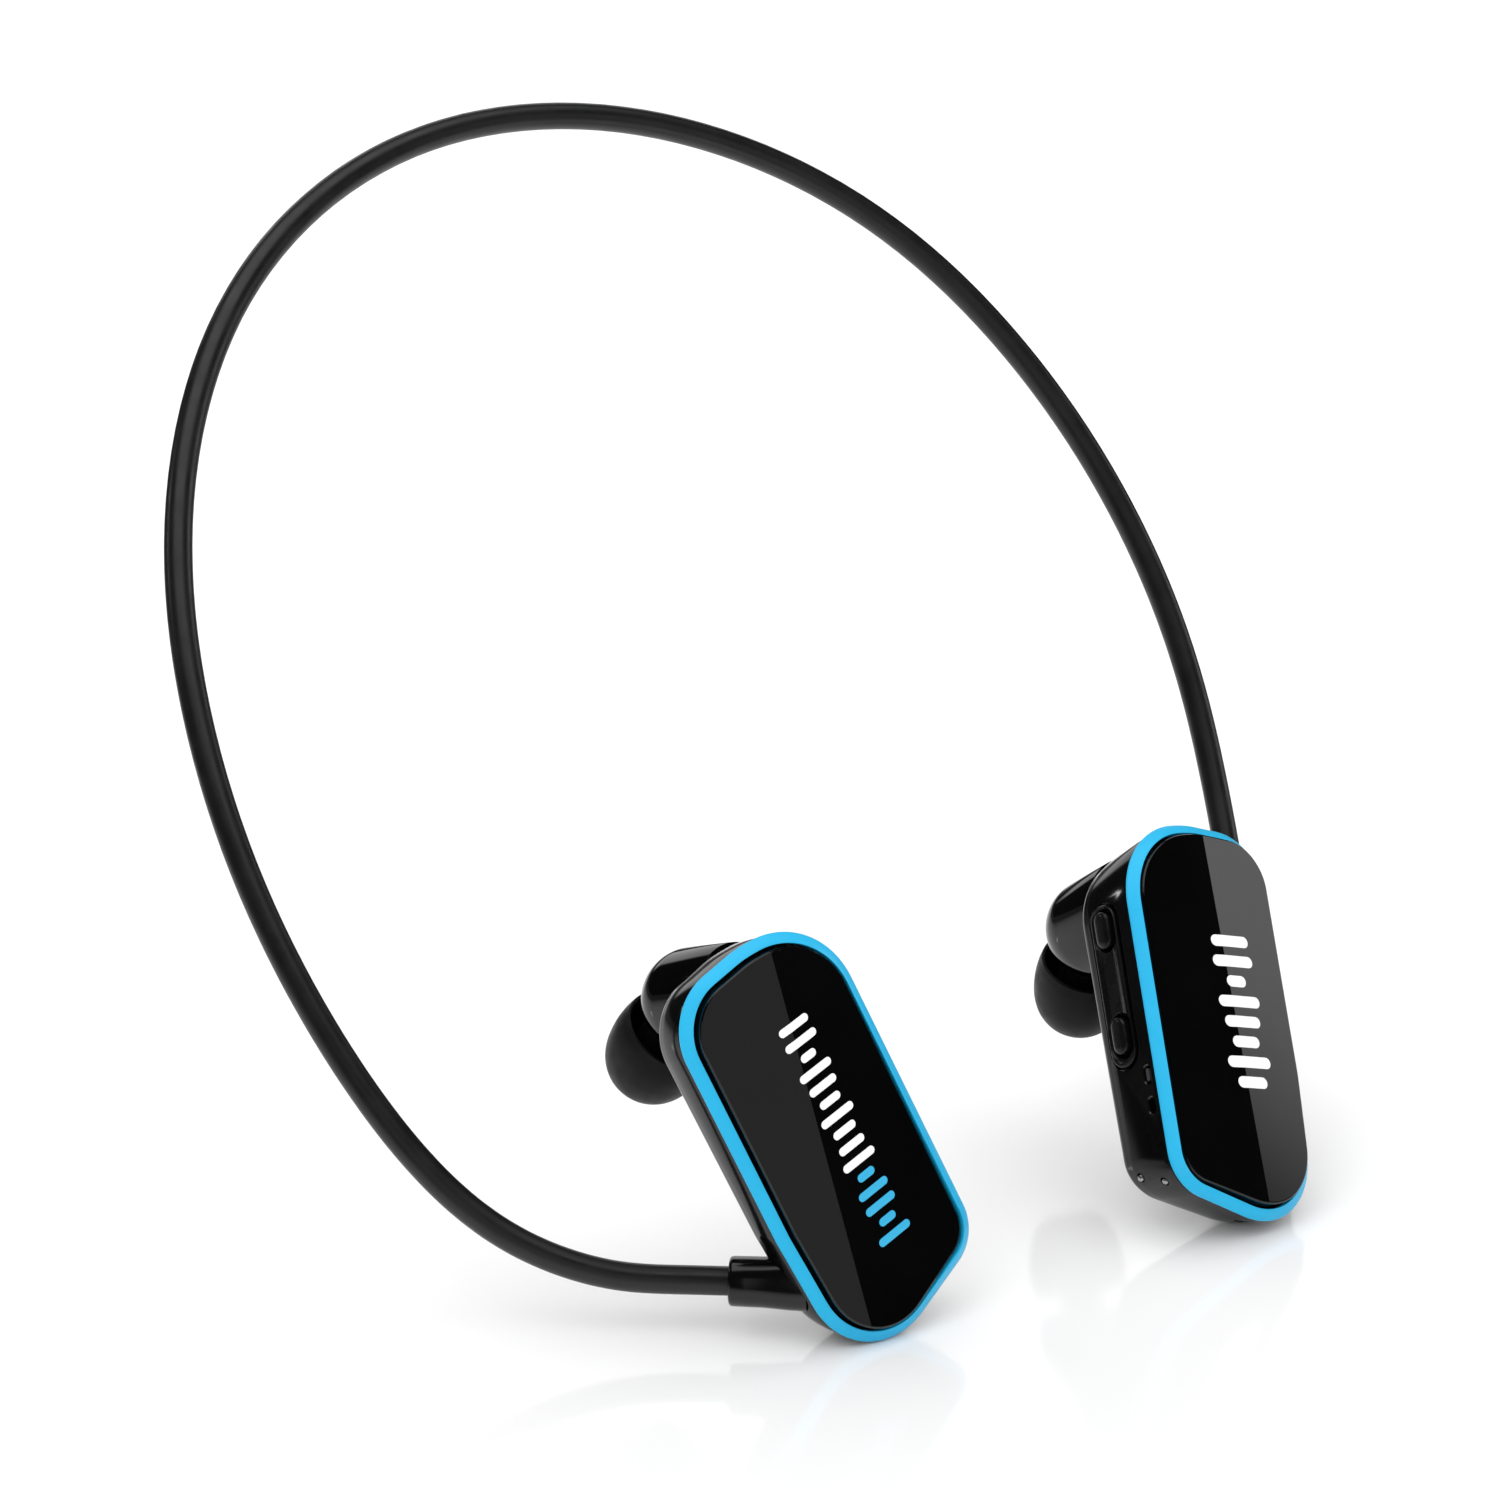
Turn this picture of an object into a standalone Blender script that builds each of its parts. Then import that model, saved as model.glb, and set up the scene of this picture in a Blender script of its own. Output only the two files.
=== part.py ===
"""Neckband earphones: two sealed pods joined by one sprung, rubber-covered neckband.

Each pod is drawn in its own frame: X across the pod, Y along it towards the
rounded end, Z out of the glossy cover.  The right pod is the left one mirrored
across X.  Sizes are millimetres; MM turns them into metres.
"""
from collections import namedtuple
from math import atan2, cos, pi, radians, sin, tan

import bmesh
import bpy
from mathutils import Euler, Matrix, Vector

MM = 0.001
GAP = 0.3                       # air between neighbouring pieces

# ---- where things stand -------------------------------------------------------
ASSEMBLY_SHIFT = (1.69, -1.21, -0.68)   # puts the origin under the middle of the whole object
LEFT_POD_PLACE = (8.0, -54.9, 24.7)
LEFT_POD_TURN = (73.1, -19.0, 39.9)
RIGHT_POD_PLACE = (55.9, -15.3, 23.46)
RIGHT_POD_TURN = (56.9, 16.5, 36.6)

# ---- pod shell ----------------------------------------------------------------
POD_LENGTH = 50.0
POD_WIDTH = 24.0
HALF_L = POD_LENGTH / 2
HALF_W = POD_WIDTH / 2
# corner across, corner along, corner radius: crowned top, obliquely cut lower end
CONTROL_CORNER = (HALF_W, -21.1, 5.6)   # lower corner below the controls
LOWEST_CORNER = (-10.7, -28.2, 9.5)
POD_CORNERS = (
    (-HALF_W, HALF_L - 1.1, 7.6),
    (0.0, HALF_L - 0.1, 16.0),
    (HALF_W, HALF_L - 1.2, 10.8),
    CONTROL_CORNER,
    LOWEST_CORNER,
    (-HALF_W, -6.9, 16.0),
)
ARC_STEPS = 5
BACK_DEPTH = 7.9                # depth of the back face in the middle
BACK_SLOPE = 0.02               # the pod gets deeper towards its rounded end
ACROSS_SLOPE = 0.14             # and towards its control side
TOP_TAPER = 0.05                # share of its length that the shell loses at its back
BOTTOM_TAPER = 0.055
WALL = 1.2
RIM_INSET = 0.15
RIM_DEPTH = 0.6
WALL_INNER = RIM_INSET + WALL

# ---- trim ring and cover ------------------------------------------------------
RING_WIDTH = 1.3
RING_RISE = 0.9
RING_FOOT = 0.3
COVER_INSET = RING_WIDTH + GAP
COVER_FOOT = 0.6
CREASE_HEIGHT = 1.9
OUTER_FACET_SLOPE = radians(4.5)    # facet on the control side
INNER_FACET_SLOPE = radians(0.6)
# crease ends (across, along), each pod in its own frame
LEFT_CREASE = ((3.0, 23.0), (-7.0, -21.4))
RIGHT_CREASE = ((-0.6, 23.0), (-1.6, -24.0))

# ---- ear piece ----------------------------------------------------------------
HOUSING_ACROSS = 2.5
HOUSING_ALONG = 16.9
HOUSING_RADIUS = 6.3
HOUSING_WALL = 0.9
HOUSING_HEIGHT = 8.1            # from its base to the centre of its round end
NOZZLE_DIRECTION = Vector((-0.35, -0.52, -0.78)).normalized()
FRONT_FACE = 3.6                # flat front of the housing, from the round end's centre
NOZZLE_BORE = 1.4
NOZZLE_RADIUS = 2.1
NOZZLE_END = 10.2
TIP_ORIGIN = 9.0                # along the nozzle, where the ear tip's own origin lies

# ---- cable boss and neckband --------------------------------------------------
BOSS_END = Vector((-15.0, -10.8, -9.2))
BOSS_DIRECTION = Vector((-0.67, 0.42, -0.61)).normalized()
BOSS_RADIUS = 2.9
BOSS_ROOT_RADIUS = 3.3
BOSS_LENGTH = 10.0
SOCKET_RADIUS = 2.1
SOCKET_DEPTH = 2.8
BAND_RADIUS = 1.7
BAND_BORE = 1.05
WIRE_RADIUS = 0.42
WIRE_OFFSET = 0.42
CABLE_RADIUS = 0.32
CABLE_OFFSET = -0.56
FLEX_GAP = 0.9                  # break in the band at each flex point
BAND_STEPS = 66
RIGHT_FLEX_STEP = 22            # section numbers where the band is divided
LEFT_FLEX_STEP = 45
# The neckband's resting curve from the right pod to the left pod.
BAND_ROUTE = (
    (63.6, 7.4, 7.4),
    (62.6, 19.6, 15.6),
    (60.1, 33.8, 31.5),
    (54.5, 49.5, 54.5),
    (39.5, 61.0, 81.0),
    (15.5, 64.0, 105.5),
    (-15.0, 55.5, 120.0),
    (-44.0, 38.0, 121.0),
    (-64.0, 13.0, 107.5),
    (-69.5, -13.0, 83.0),
    (-62.0, -35.5, 55.0),
    (-47.5, -50.0, 31.0),
    (-33.0, -56.0, 15.0),
    (-19.0, -57.0, 8.5),
)

# ---- controls on the right pod's long side wall (along, height below the cover) -
STRIP_TOP = 15.2
STRIP_BOTTOM = -5.2
STRIP_FRONT = 2.9
STRIP_BACK = 7.1
STRIP_FLOOR = 0.6               # how deep the strip's channel is cut
STRIP_PROUD = 0.25
UPPER_BUTTON = (12.0, 4.9)
LOWER_BUTTON = (-1.3, 4.9)
BUTTON_HALF_LENGTH = 2.3
BUTTON_HALF_WIDTH = 1.2
OVAL_STEPS = 6

BOARD_SCREWS = ((-7.0, -14.5), (5.2, -14.5), (-7.0, 13.5))

Pod = namedtuple("Pod", "name side frame ear cable")


# ==== general helpers ==========================================================
def clear_scene():
    for obj in list(bpy.data.objects):
        bpy.data.objects.remove(obj, do_unlink=True)


def make_collection(name):
    collection = bpy.data.collections.new(name)
    bpy.context.scene.collection.children.link(collection)
    return collection


def make_material(name, colour, roughness, metallic=0.0):
    material = bpy.data.materials.new(name)
    material.use_nodes = True
    shader = material.node_tree.nodes["Principled BSDF"]
    shader.inputs["Base Color"].default_value = (*colour, 1.0)
    shader.inputs["Roughness"].default_value = roughness
    shader.inputs["Metallic"].default_value = metallic
    return material


def make_empty(name, parent, location=(0, 0, 0), rotation=None):
    empty = bpy.data.objects.new(name, None)
    PARTS.objects.link(empty)
    empty.parent = parent
    empty.location = Vector(location) * MM
    if rotation is not None:
        empty.rotation_euler = rotation
    return empty


def make_object(name, bm, material, parent, cutter=False):
    """Turn a bmesh drawn in millimetres into an object in metres."""
    bmesh.ops.scale(bm, vec=(MM, MM, MM), verts=bm.verts)
    mesh = bpy.data.meshes.new(name)
    bm.to_mesh(mesh)
    bm.free()
    obj = bpy.data.objects.new(name, mesh)
    (CUTTERS if cutter else PARTS).objects.link(obj)
    obj.parent = parent
    if cutter:
        obj.hide_render = True
        obj.display_type = "WIRE"
    else:
        mesh.materials.append(material)
    return obj


def loft(rings, closed=False):
    """Skin rings that have equal point counts; the end rings are capped unless closed."""
    bm = bmesh.new()
    layers = [[bm.verts.new(point) for point in ring] for ring in rings]
    count = len(layers[0])
    pairs = list(zip(layers, layers[1:]))
    if closed:
        pairs.append((layers[-1], layers[0]))
    for lower, upper in pairs:
        for i in range(count):
            j = (i + 1) % count
            bm.faces.new((lower[i], lower[j], upper[j], upper[i]))
    if not closed:
        bm.faces.new(layers[0])
        bm.faces.new(layers[-1])
    bmesh.ops.recalc_face_normals(bm, faces=bm.faces)
    return bm


def turned(name, profile, steps, material, parent, cutter=False, height=0.0):
    """Spin a (radius, height) profile about the parent's Z axis with a Screw modifier."""
    bm = bmesh.new()
    verts = [bm.verts.new((radius, 0.0, z - height)) for radius, z in profile]
    links = list(zip(verts, verts[1:]))
    if profile[0][0] > 0.0 and profile[-1][0] > 0.0:
        links.append((verts[-1], verts[0]))
    for first, second in links:
        bm.edges.new((first, second))
    obj = make_object(name, bm, material, parent, cutter)
    obj.location = (0.0, 0.0, height * MM)
    screw = obj.modifiers.new("turn", "SCREW")
    screw.axis = "Z"
    screw.angle = 2 * pi
    screw.steps = steps
    screw.render_steps = steps
    screw.use_merge_vertices = True
    screw.merge_threshold = 0.00001
    screw.use_smooth_shade = True
    return obj


def box(name, low, high, material, parent, cutter=False, bevel=0.0):
    """A box between two corners, from a cube primitive."""
    low, high = Vector(low), Vector(high)
    bm = bmesh.new()
    bmesh.ops.create_cube(bm, size=1.0)
    bmesh.ops.scale(bm, vec=high - low, verts=bm.verts)
    obj = make_object(name, bm, material, parent, cutter)
    obj.location = (low + high) / 2 * MM
    if bevel:
        rounding = obj.modifiers.new("rounding", "BEVEL")
        rounding.width = bevel * MM
        rounding.segments = 2
    return obj


def cut(obj, cutter):
    boolean = obj.modifiers.new("cut_" + cutter.name, "BOOLEAN")
    boolean.operation = "DIFFERENCE"
    boolean.solver = "EXACT"
    boolean.object = cutter


def aim(direction):
    return direction.to_track_quat("Z", "Y").to_euler()


def shade_smooth(obj, angle=35.0):
    obj.data.shade_smooth()
    obj.data.set_sharp_from_angle(angle=radians(angle))


# ==== outlines =================================================================
def inset_corners(corners, inset):
    """Move each straight side of a clockwise outline inwards and rebuild its corners."""
    count = len(corners)
    sides = []
    for i in range(count):
        start = Vector(corners[i][:2])
        run = (Vector(corners[(i + 1) % count][:2]) - start).normalized()
        inward = Vector((run.y, -run.x))
        sides.append((start + inward * inset, run))
    result = []
    for i in range(count):
        (p, u), (q, v) = sides[i - 1], sides[i]
        along = (q - p).cross(v) / u.cross(v)
        corner = p + u * along
        result.append((corner.x, corner.y, max(corners[i][2] - inset, 0.4)))
    return result


def rounded_outline(corners, inset=0.0, steps=ARC_STEPS):
    """Points of an outline whose corners are arcs of the given radii."""
    corners = inset_corners(corners, inset)
    count = len(corners)
    points = []
    for i in range(count):
        corner = Vector(corners[i][:2])
        before = (Vector(corners[i - 1][:2]) - corner).normalized()
        after = (Vector(corners[(i + 1) % count][:2]) - corner).normalized()
        half = before.angle(after) / 2
        radius = corners[i][2]
        centre = corner + (before + after).normalized() * (radius / sin(half))
        first = corner + before * (radius / tan(half)) - centre
        last = corner + after * (radius / tan(half)) - centre
        start = atan2(first.y, first.x)
        sweep = (atan2(last.y, last.x) - start + pi) % (2 * pi) - pi
        for k in range(steps + 1):
            turn = start + sweep * k / steps
            points.append(centre + Vector((cos(turn), sin(turn))) * radius)
    return points


def back_depth(across, along):
    return BACK_DEPTH + BACK_SLOPE * along + ACROSS_SLOPE * across


def pod_ring(pod, inset, height=None, lift=None):
    """The pod's outline at a height above the ring plane, or at a lift off its back face."""
    ring = []
    for point in rounded_outline(POD_CORNERS, inset):
        z = height if lift is None else lift - back_depth(point.x, point.y)
        taper = TOP_TAPER if point.y > 0.0 else BOTTOM_TAPER
        shorten = 1 + taper * min(z, 0.0) / BACK_DEPTH
        ring.append((pod.side * point.x, point.y * shorten, z))
    return ring


def oval(side, along, depth, half_length, half_width, across, steps=OVAL_STEPS):
    """A slot-shaped ring in a side wall, at a distance across the pod."""
    straight = half_length - half_width
    ring = []
    for end, start in ((1, 0.0), (-1, pi)):
        for k in range(steps + 1):
            turn = start + pi * k / steps
            y = along + end * straight + half_width * sin(turn)
            z = -depth + half_width * cos(turn)
            ring.append((side * across, y, z))
    return ring


# ==== pod shells ===============================================================
def make_body(pod):
    rings = [
        pod_ring(pod, WALL_INNER + 1.6, lift=WALL),
        pod_ring(pod, WALL_INNER + 0.4, lift=WALL + 0.3),
        pod_ring(pod, WALL_INNER, lift=WALL + 1.0),
        pod_ring(pod, WALL_INNER, height=-RIM_DEPTH),
        pod_ring(pod, RIM_INSET, height=-RIM_DEPTH),
        pod_ring(pod, RIM_INSET + 0.2, lift=2.0),
        pod_ring(pod, RIM_INSET + 0.45, lift=1.0),
        pod_ring(pod, RIM_INSET + 1.0, lift=0.3),
        pod_ring(pod, RIM_INSET + 1.9, lift=0.0),
    ]
    body = make_object(pod.name + "_body", loft(rings), GLOSS_BLACK, pod.frame)
    shade_smooth(body)
    wire_hole = turned(pod.name + "_wire_hole", cylinder(1.5, -3.0, 3.0), 12, None,
                       pod.frame, cutter=True)
    wire_hole.location = housing_base(pod) * MM
    cut(body, wire_hole)
    cable_hole = turned(pod.name + "_cable_hole", cylinder(1.1, -12.0, -3.0), 12, None,
                        pod.cable, cutter=True)
    cut(body, cable_hole)
    vent = make_object(pod.name + "_vent_slot", loft([
        vent_ring(pod, -3.0),
        vent_ring(pod, 3.0),
    ]), None, pod.frame, cutter=True)
    cut(body, vent)
    return body


def vent_ring(pod, reach):
    """A short slot in the obliquely cut lower wall, drawn across that wall."""
    low, high = Vector(LOWEST_CORNER[:2]), Vector(CONTROL_CORNER[:2])
    run = (high - low).normalized()
    out = Vector((run.y, -run.x))
    middle = low.lerp(high, 0.42)
    ring = []
    for end, start in ((1, 0.0), (-1, pi)):
        for k in range(OVAL_STEPS + 1):
            turn = start + pi * k / OVAL_STEPS
            along = end * 0.7 + 0.4 * sin(turn)
            point = middle + run * along + out * reach
            ring.append((pod.side * point.x, point.y, -3.2 + 0.4 * cos(turn)))
    return ring


def make_trim_ring(pod):
    rings = [
        pod_ring(pod, 0.0, height=-RING_FOOT),
        pod_ring(pod, 0.0, height=0.0),
        pod_ring(pod, RING_WIDTH, height=RING_RISE),
        pod_ring(pod, RING_WIDTH, height=-RING_FOOT),
    ]
    ring = make_object(pod.name + "_trim_ring", loft(rings, closed=True), CYAN, pod.frame)
    shade_smooth(ring)


def make_gasket(pod):
    outer, inner = COVER_INSET + 0.2, COVER_INSET + 1.2
    top, bottom = -COVER_FOOT - GAP, -COVER_FOOT - GAP - 0.7
    rings = [
        pod_ring(pod, outer, height=bottom),
        pod_ring(pod, outer, height=top),
        pod_ring(pod, inner, height=top),
        pod_ring(pod, inner, height=bottom),
    ]
    make_object(pod.name + "_gasket", loft(rings, closed=True), SOFT_BLACK, pod.frame)


def make_cover(pod, crease):
    """A plate whose top is two flat facets that meet in a straight crease."""
    bm = loft([
        pod_ring(pod, COVER_INSET, height=-COVER_FOOT),
        pod_ring(pod, COVER_INSET, height=CREASE_HEIGHT + 1.0),
    ])
    top, bottom = (Vector((pod.side * x, y, CREASE_HEIGHT)) for x, y in crease)
    run = (top - bottom).normalized()
    for direction, slope in ((pod.side, OUTER_FACET_SLOPE), (-pod.side, INNER_FACET_SLOPE)):
        aside = Vector((run.y, -run.x, 0.0)) * direction
        normal = aside * sin(slope) + Vector((0, 0, 1)) * cos(slope)
        geometry = list(bm.verts) + list(bm.edges) + list(bm.faces)
        sliced = bmesh.ops.bisect_plane(bm, geom=geometry, plane_co=top, plane_no=normal,
                                        clear_outer=True, dist=0.00001)
        edges = [item for item in sliced["geom_cut"] if isinstance(item, bmesh.types.BMEdge)]
        bmesh.ops.edgenet_fill(bm, edges=edges)
    bmesh.ops.recalc_face_normals(bm, faces=bm.faces)
    cover = make_object(pod.name + "_cover", bm, GLOSS_BLACK, pod.frame)
    edge = cover.modifiers.new("soft_edge", "BEVEL")
    edge.width = 0.2 * MM
    edge.segments = 1
    edge.limit_method = "ANGLE"
    edge.angle_limit = radians(60)
    shade_smooth(cover, 3.0)


# ==== ear piece ================================================================
def cylinder(radius, low, high):
    return [(0.0, high), (radius, high), (radius, low), (0.0, low)]


def dome(radius, base, centre, steps=6):
    """A rod with one round end, as a profile that runs down from the tip."""
    profile = [(0.0, centre + radius)]
    for k in range(1, steps + 1):
        turn = pi / 2 * k / steps
        profile.append((radius * sin(turn), centre + radius * cos(turn)))
    return profile + [(radius, base), (0.0, base)]


def housing_base(pod):
    depth = back_depth(HOUSING_ACROSS, HOUSING_ALONG)
    return Vector((pod.side * HOUSING_ACROSS, HOUSING_ALONG, -depth))


def housing_axis(pod):
    return Vector((-pod.side * ACROSS_SLOPE, -BACK_SLOPE, -1.0)).normalized()


def ear_centre(pod):
    return housing_base(pod) + housing_axis(pod) * (GAP + HOUSING_HEIGHT)


def slice_front(name, material, pod, radius, base, face, cutter=False):
    """A domed rod on the back face, cut flat across the nozzle's direction."""
    bm = bmesh.new()
    profile = dome(radius, base, 0.0)
    verts = [bm.verts.new((r, 0.0, z)) for r, z in profile]
    edges = [bm.edges.new(pair) for pair in zip(verts, verts[1:])]
    bmesh.ops.spin(bm, geom=verts + edges, axis=(0, 0, 1), cent=(0, 0, 0), angle=2 * pi,
                   steps=24, use_merge=True)
    bmesh.ops.remove_doubles(bm, verts=bm.verts, dist=0.001)
    turn = housing_axis(pod).to_track_quat("Z", "Y").to_matrix().to_4x4()
    bmesh.ops.transform(bm, matrix=Matrix.Translation(ear_centre(pod)) @ turn, verts=bm.verts)
    direction = nozzle_direction(pod)
    geometry = list(bm.verts) + list(bm.edges) + list(bm.faces)
    sliced = bmesh.ops.bisect_plane(bm, geom=geometry, plane_no=direction, clear_outer=True,
                                    plane_co=ear_centre(pod) + direction * face, dist=0.00001)
    edges = [item for item in sliced["geom_cut"] if isinstance(item, bmesh.types.BMEdge)]
    bmesh.ops.edgenet_fill(bm, edges=edges)
    bmesh.ops.recalc_face_normals(bm, faces=bm.faces)
    return make_object(name, bm, material, pod.frame, cutter)


def nozzle_direction(pod):
    return Vector((pod.side * NOZZLE_DIRECTION.x, NOZZLE_DIRECTION.y, NOZZLE_DIRECTION.z))


def make_ear_housing(pod):
    housing = slice_front(pod.name + "_ear_housing", GLOSS_BLACK, pod, HOUSING_RADIUS,
                          -HOUSING_HEIGHT, FRONT_FACE)
    hollow = slice_front(pod.name + "_ear_hollow", None, pod, HOUSING_RADIUS - HOUSING_WALL,
                         -HOUSING_HEIGHT - 2.0, FRONT_FACE - HOUSING_WALL, cutter=True)
    cut(housing, hollow)
    bore = turned(pod.name + "_ear_bore", cylinder(NOZZLE_BORE, FRONT_FACE - 2.0, FRONT_FACE + 2.0),
                  12, None, pod.ear, cutter=True)
    cut(housing, bore)
    shade_smooth(housing)


def make_nozzle(pod):
    start = FRONT_FACE + GAP
    profile = [
        (NOZZLE_RADIUS - 0.3, NOZZLE_END),
        (NOZZLE_RADIUS, NOZZLE_END - 0.3),
        (NOZZLE_RADIUS, start + 0.8),
        (NOZZLE_RADIUS + 0.9, start + 0.8),
        (NOZZLE_RADIUS + 0.9, start),
        (NOZZLE_BORE, start),
        (NOZZLE_BORE, NOZZLE_END),
    ]
    turned(pod.name + "_nozzle", profile, 16, GLOSS_BLACK, pod.ear)
    turned(pod.name + "_nozzle_mesh", cylinder(NOZZLE_BORE - GAP, NOZZLE_END - 0.6, NOZZLE_END - 0.3),
           12, STEEL, pod.ear)


def make_driver(pod):
    basket = [
        (4.6, 1.2), (4.6, -0.9), (3.9, -1.4), (1.2, -1.4), (1.2, -0.6), (3.7, -0.6), (4.0, 1.2),
    ]
    turned(pod.name + "_driver_basket", basket, 24, STEEL, pod.ear)
    turned(pod.name + "_driver_magnet", cylinder(2.9, -3.3, -1.7), 20, MAGNET, pod.ear)
    diaphragm = [
        (0.0, 2.3), (1.4, 2.1), (2.2, 1.7), (3.6, 1.9), (4.2, 1.7),
        (4.2, 1.55), (3.6, 1.7), (2.2, 1.5), (1.4, 1.9), (0.0, 2.1),
    ]
    turned(pod.name + "_driver_diaphragm", diaphragm, 20, AMBER_FILM, pod.ear)


def make_ear_tip(pod):
    """Mushroom tip: inner sleeve, rounded crown and a thin skirt open towards the housing."""
    profile = [
        (2.6, 15.7), (4.0, 14.9), (5.3, 13.0), (6.05, 9.6), (6.05, 7.2), (5.8, 5.7),
        (5.2, 5.7), (5.4, 9.3), (4.8, 11.6), (3.3, 12.6), (3.3, 5.4),
        (2.45, 5.4), (2.45, 10.9), (1.8, 11.4), (1.8, 15.5),
    ]
    turned(pod.name + "_ear_tip", profile, 18, SILICONE, pod.ear, height=TIP_ORIGIN)


# ==== cable boss ===============================================================
def make_boss(pod):
    profile = [
        (BOSS_RADIUS - 0.4, 0.0),
        (BOSS_RADIUS, -0.4),
        (BOSS_ROOT_RADIUS, -BOSS_LENGTH),
        (0.9, -BOSS_LENGTH),
        (0.9, -SOCKET_DEPTH),
        (SOCKET_RADIUS, -SOCKET_DEPTH),
        (SOCKET_RADIUS, 0.0),
    ]
    boss = turned(pod.name + "_cable_boss", profile, 20, GLOSS_BLACK, pod.cable)
    shell = make_object(pod.name + "_boss_clearance", loft([
        pod_ring(pod, -GAP, height=4.0),
        pod_ring(pod, -GAP, lift=1.0),
        pod_ring(pod, 1.0, lift=-GAP),
    ]), None, pod.frame, cutter=True)
    cut(boss, shell)


# ==== inside the pods ==========================================================
def make_left_inside(pod):
    box("left_battery", (-5.5, -11.0, -4.2), (8.5, 14.5, -1.9), FOIL, pod.frame, bevel=0.6)
    box("left_battery_pad", (-2.5, -8.0, -5.0), (7.5, 13.0, -4.5), FOAM, pod.frame)
    box("left_protection_board", (-5.0, 15.2, -3.6), (5.6, 19.2, -2.8), BOARD, pod.frame)
    box("left_protection_chip", (-1.6, 16.0, -2.5), (1.8, 18.4, -1.7), CHIP, pod.frame)


def make_right_inside(pod):
    def inside(name, low, high, material, bevel=0.0):
        low, high = Vector(low), Vector(high)
        mirrored = sorted((pod.side * low.x, pod.side * high.x))
        box(name, (mirrored[0], low.y, low.z), (mirrored[1], high.y, high.z), material,
            pod.frame, bevel=bevel)

    inside("right_main_board", (-8.6, -16.5, -3.4), (6.6, 18.0, -2.6), BOARD)
    inside("right_processor", (-4.0, 4.0, -2.3), (3.0, 11.0, -1.4), CHIP)
    inside("right_memory_chip", (-5.4, -9.0, -2.3), (3.6, 1.5, -1.3), CHIP)
    inside("right_shield_can", (-5.0, 12.4, -2.3), (2.0, 17.0, -1.2), STEEL, bevel=0.2)
    for name, (along, depth) in (("upper", UPPER_BUTTON), ("lower", LOWER_BUTTON)):
        inside("right_" + name + "_switch", (7.0, along - 1.5, -depth - 1.1),
               (8.7, along + 1.5, -depth + 1.1), SWITCH)
    for number, (across, along) in enumerate(BOARD_SCREWS, start=1):
        head = turned("right_board_screw_%d" % number, cylinder(1.1, -0.4, 0.4), 10, STEEL,
                      pod.frame)
        head.location = Vector((pod.side * across, along, -1.9)) * MM


def make_controls(pod, body):
    outer = HALF_W - RIM_INSET
    middle = (STRIP_TOP + STRIP_BOTTOM) / 2
    depth = (STRIP_FRONT + STRIP_BACK) / 2
    half_length = (STRIP_TOP - STRIP_BOTTOM) / 2
    half_width = (STRIP_BACK - STRIP_FRONT) / 2

    def slot(name, spot, half_size, across_in, across_out, cutter=True, material=None):
        return make_object(name, loft([
            oval(pod.side, *spot, *half_size, across_in),
            oval(pod.side, *spot, *half_size, across_out),
        ]), material, pod.frame, cutter)

    channel = slot("right_strip_channel", (middle, depth), (half_length + GAP, half_width + GAP),
                   outer - STRIP_FLOOR - 0.1, outer + 3.0)
    cut(body, channel)
    strip = slot("right_control_strip", (middle, depth), (half_length, half_width),
                 outer - STRIP_FLOOR + 0.2, outer + STRIP_PROUD, False, SATIN_BLACK)
    for name, spot in (("upper", UPPER_BUTTON), ("lower", LOWER_BUTTON)):
        hole = slot("right_" + name + "_button_hole", spot,
                    (BUTTON_HALF_LENGTH + GAP, BUTTON_HALF_WIDTH + GAP), outer - 3.0, outer + 3.0)
        cut(body, hole)
        cut(strip, hole)
        make_button(pod, name, spot, outer)
    slit = slot("right_light_slit", (-7.0, 1.7), (1.1, 0.55), outer - 3.0, outer + 3.0)
    cut(body, slit)
    slot("right_status_light", (-7.0, 1.7), (0.8, 0.25), outer - 1.6, outer - 0.1, False, LENS)
    reset = slot("right_reset_hole", (-10.8, 1.8), (1.0, 0.5), outer - 3.0, outer + 3.0)
    cut(body, reset)
    make_contacts(pod, body)


def make_button(pod, name, spot, outer):
    """Oval cap, a wider flange behind the wall, and a round stem towards its switch."""
    along, depth = spot
    flange = outer - WALL - GAP
    shape = (
        (0.8, 0.8, flange - 1.2),
        (0.8, 0.8, flange - 0.6),
        (BUTTON_HALF_LENGTH + 0.3, BUTTON_HALF_WIDTH + 0.3, flange - 0.6),
        (BUTTON_HALF_LENGTH + 0.3, BUTTON_HALF_WIDTH + 0.3, flange),
        (BUTTON_HALF_LENGTH, BUTTON_HALF_WIDTH, flange),
        (BUTTON_HALF_LENGTH, BUTTON_HALF_WIDTH, outer + 0.5),
        (BUTTON_HALF_LENGTH - 0.4, BUTTON_HALF_WIDTH - 0.4, outer + 0.8),
    )
    origin = Vector((pod.side * outer, along, -depth))
    rings = []
    for half_length, half_width, across in shape:
        ring = oval(pod.side, along, depth, half_length, half_width, across)
        rings.append([Vector(point) - origin for point in ring])
    button = make_object("right_" + name + "_button", loft(rings), SATIN_BLACK, pod.frame)
    button.location = origin * MM


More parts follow.
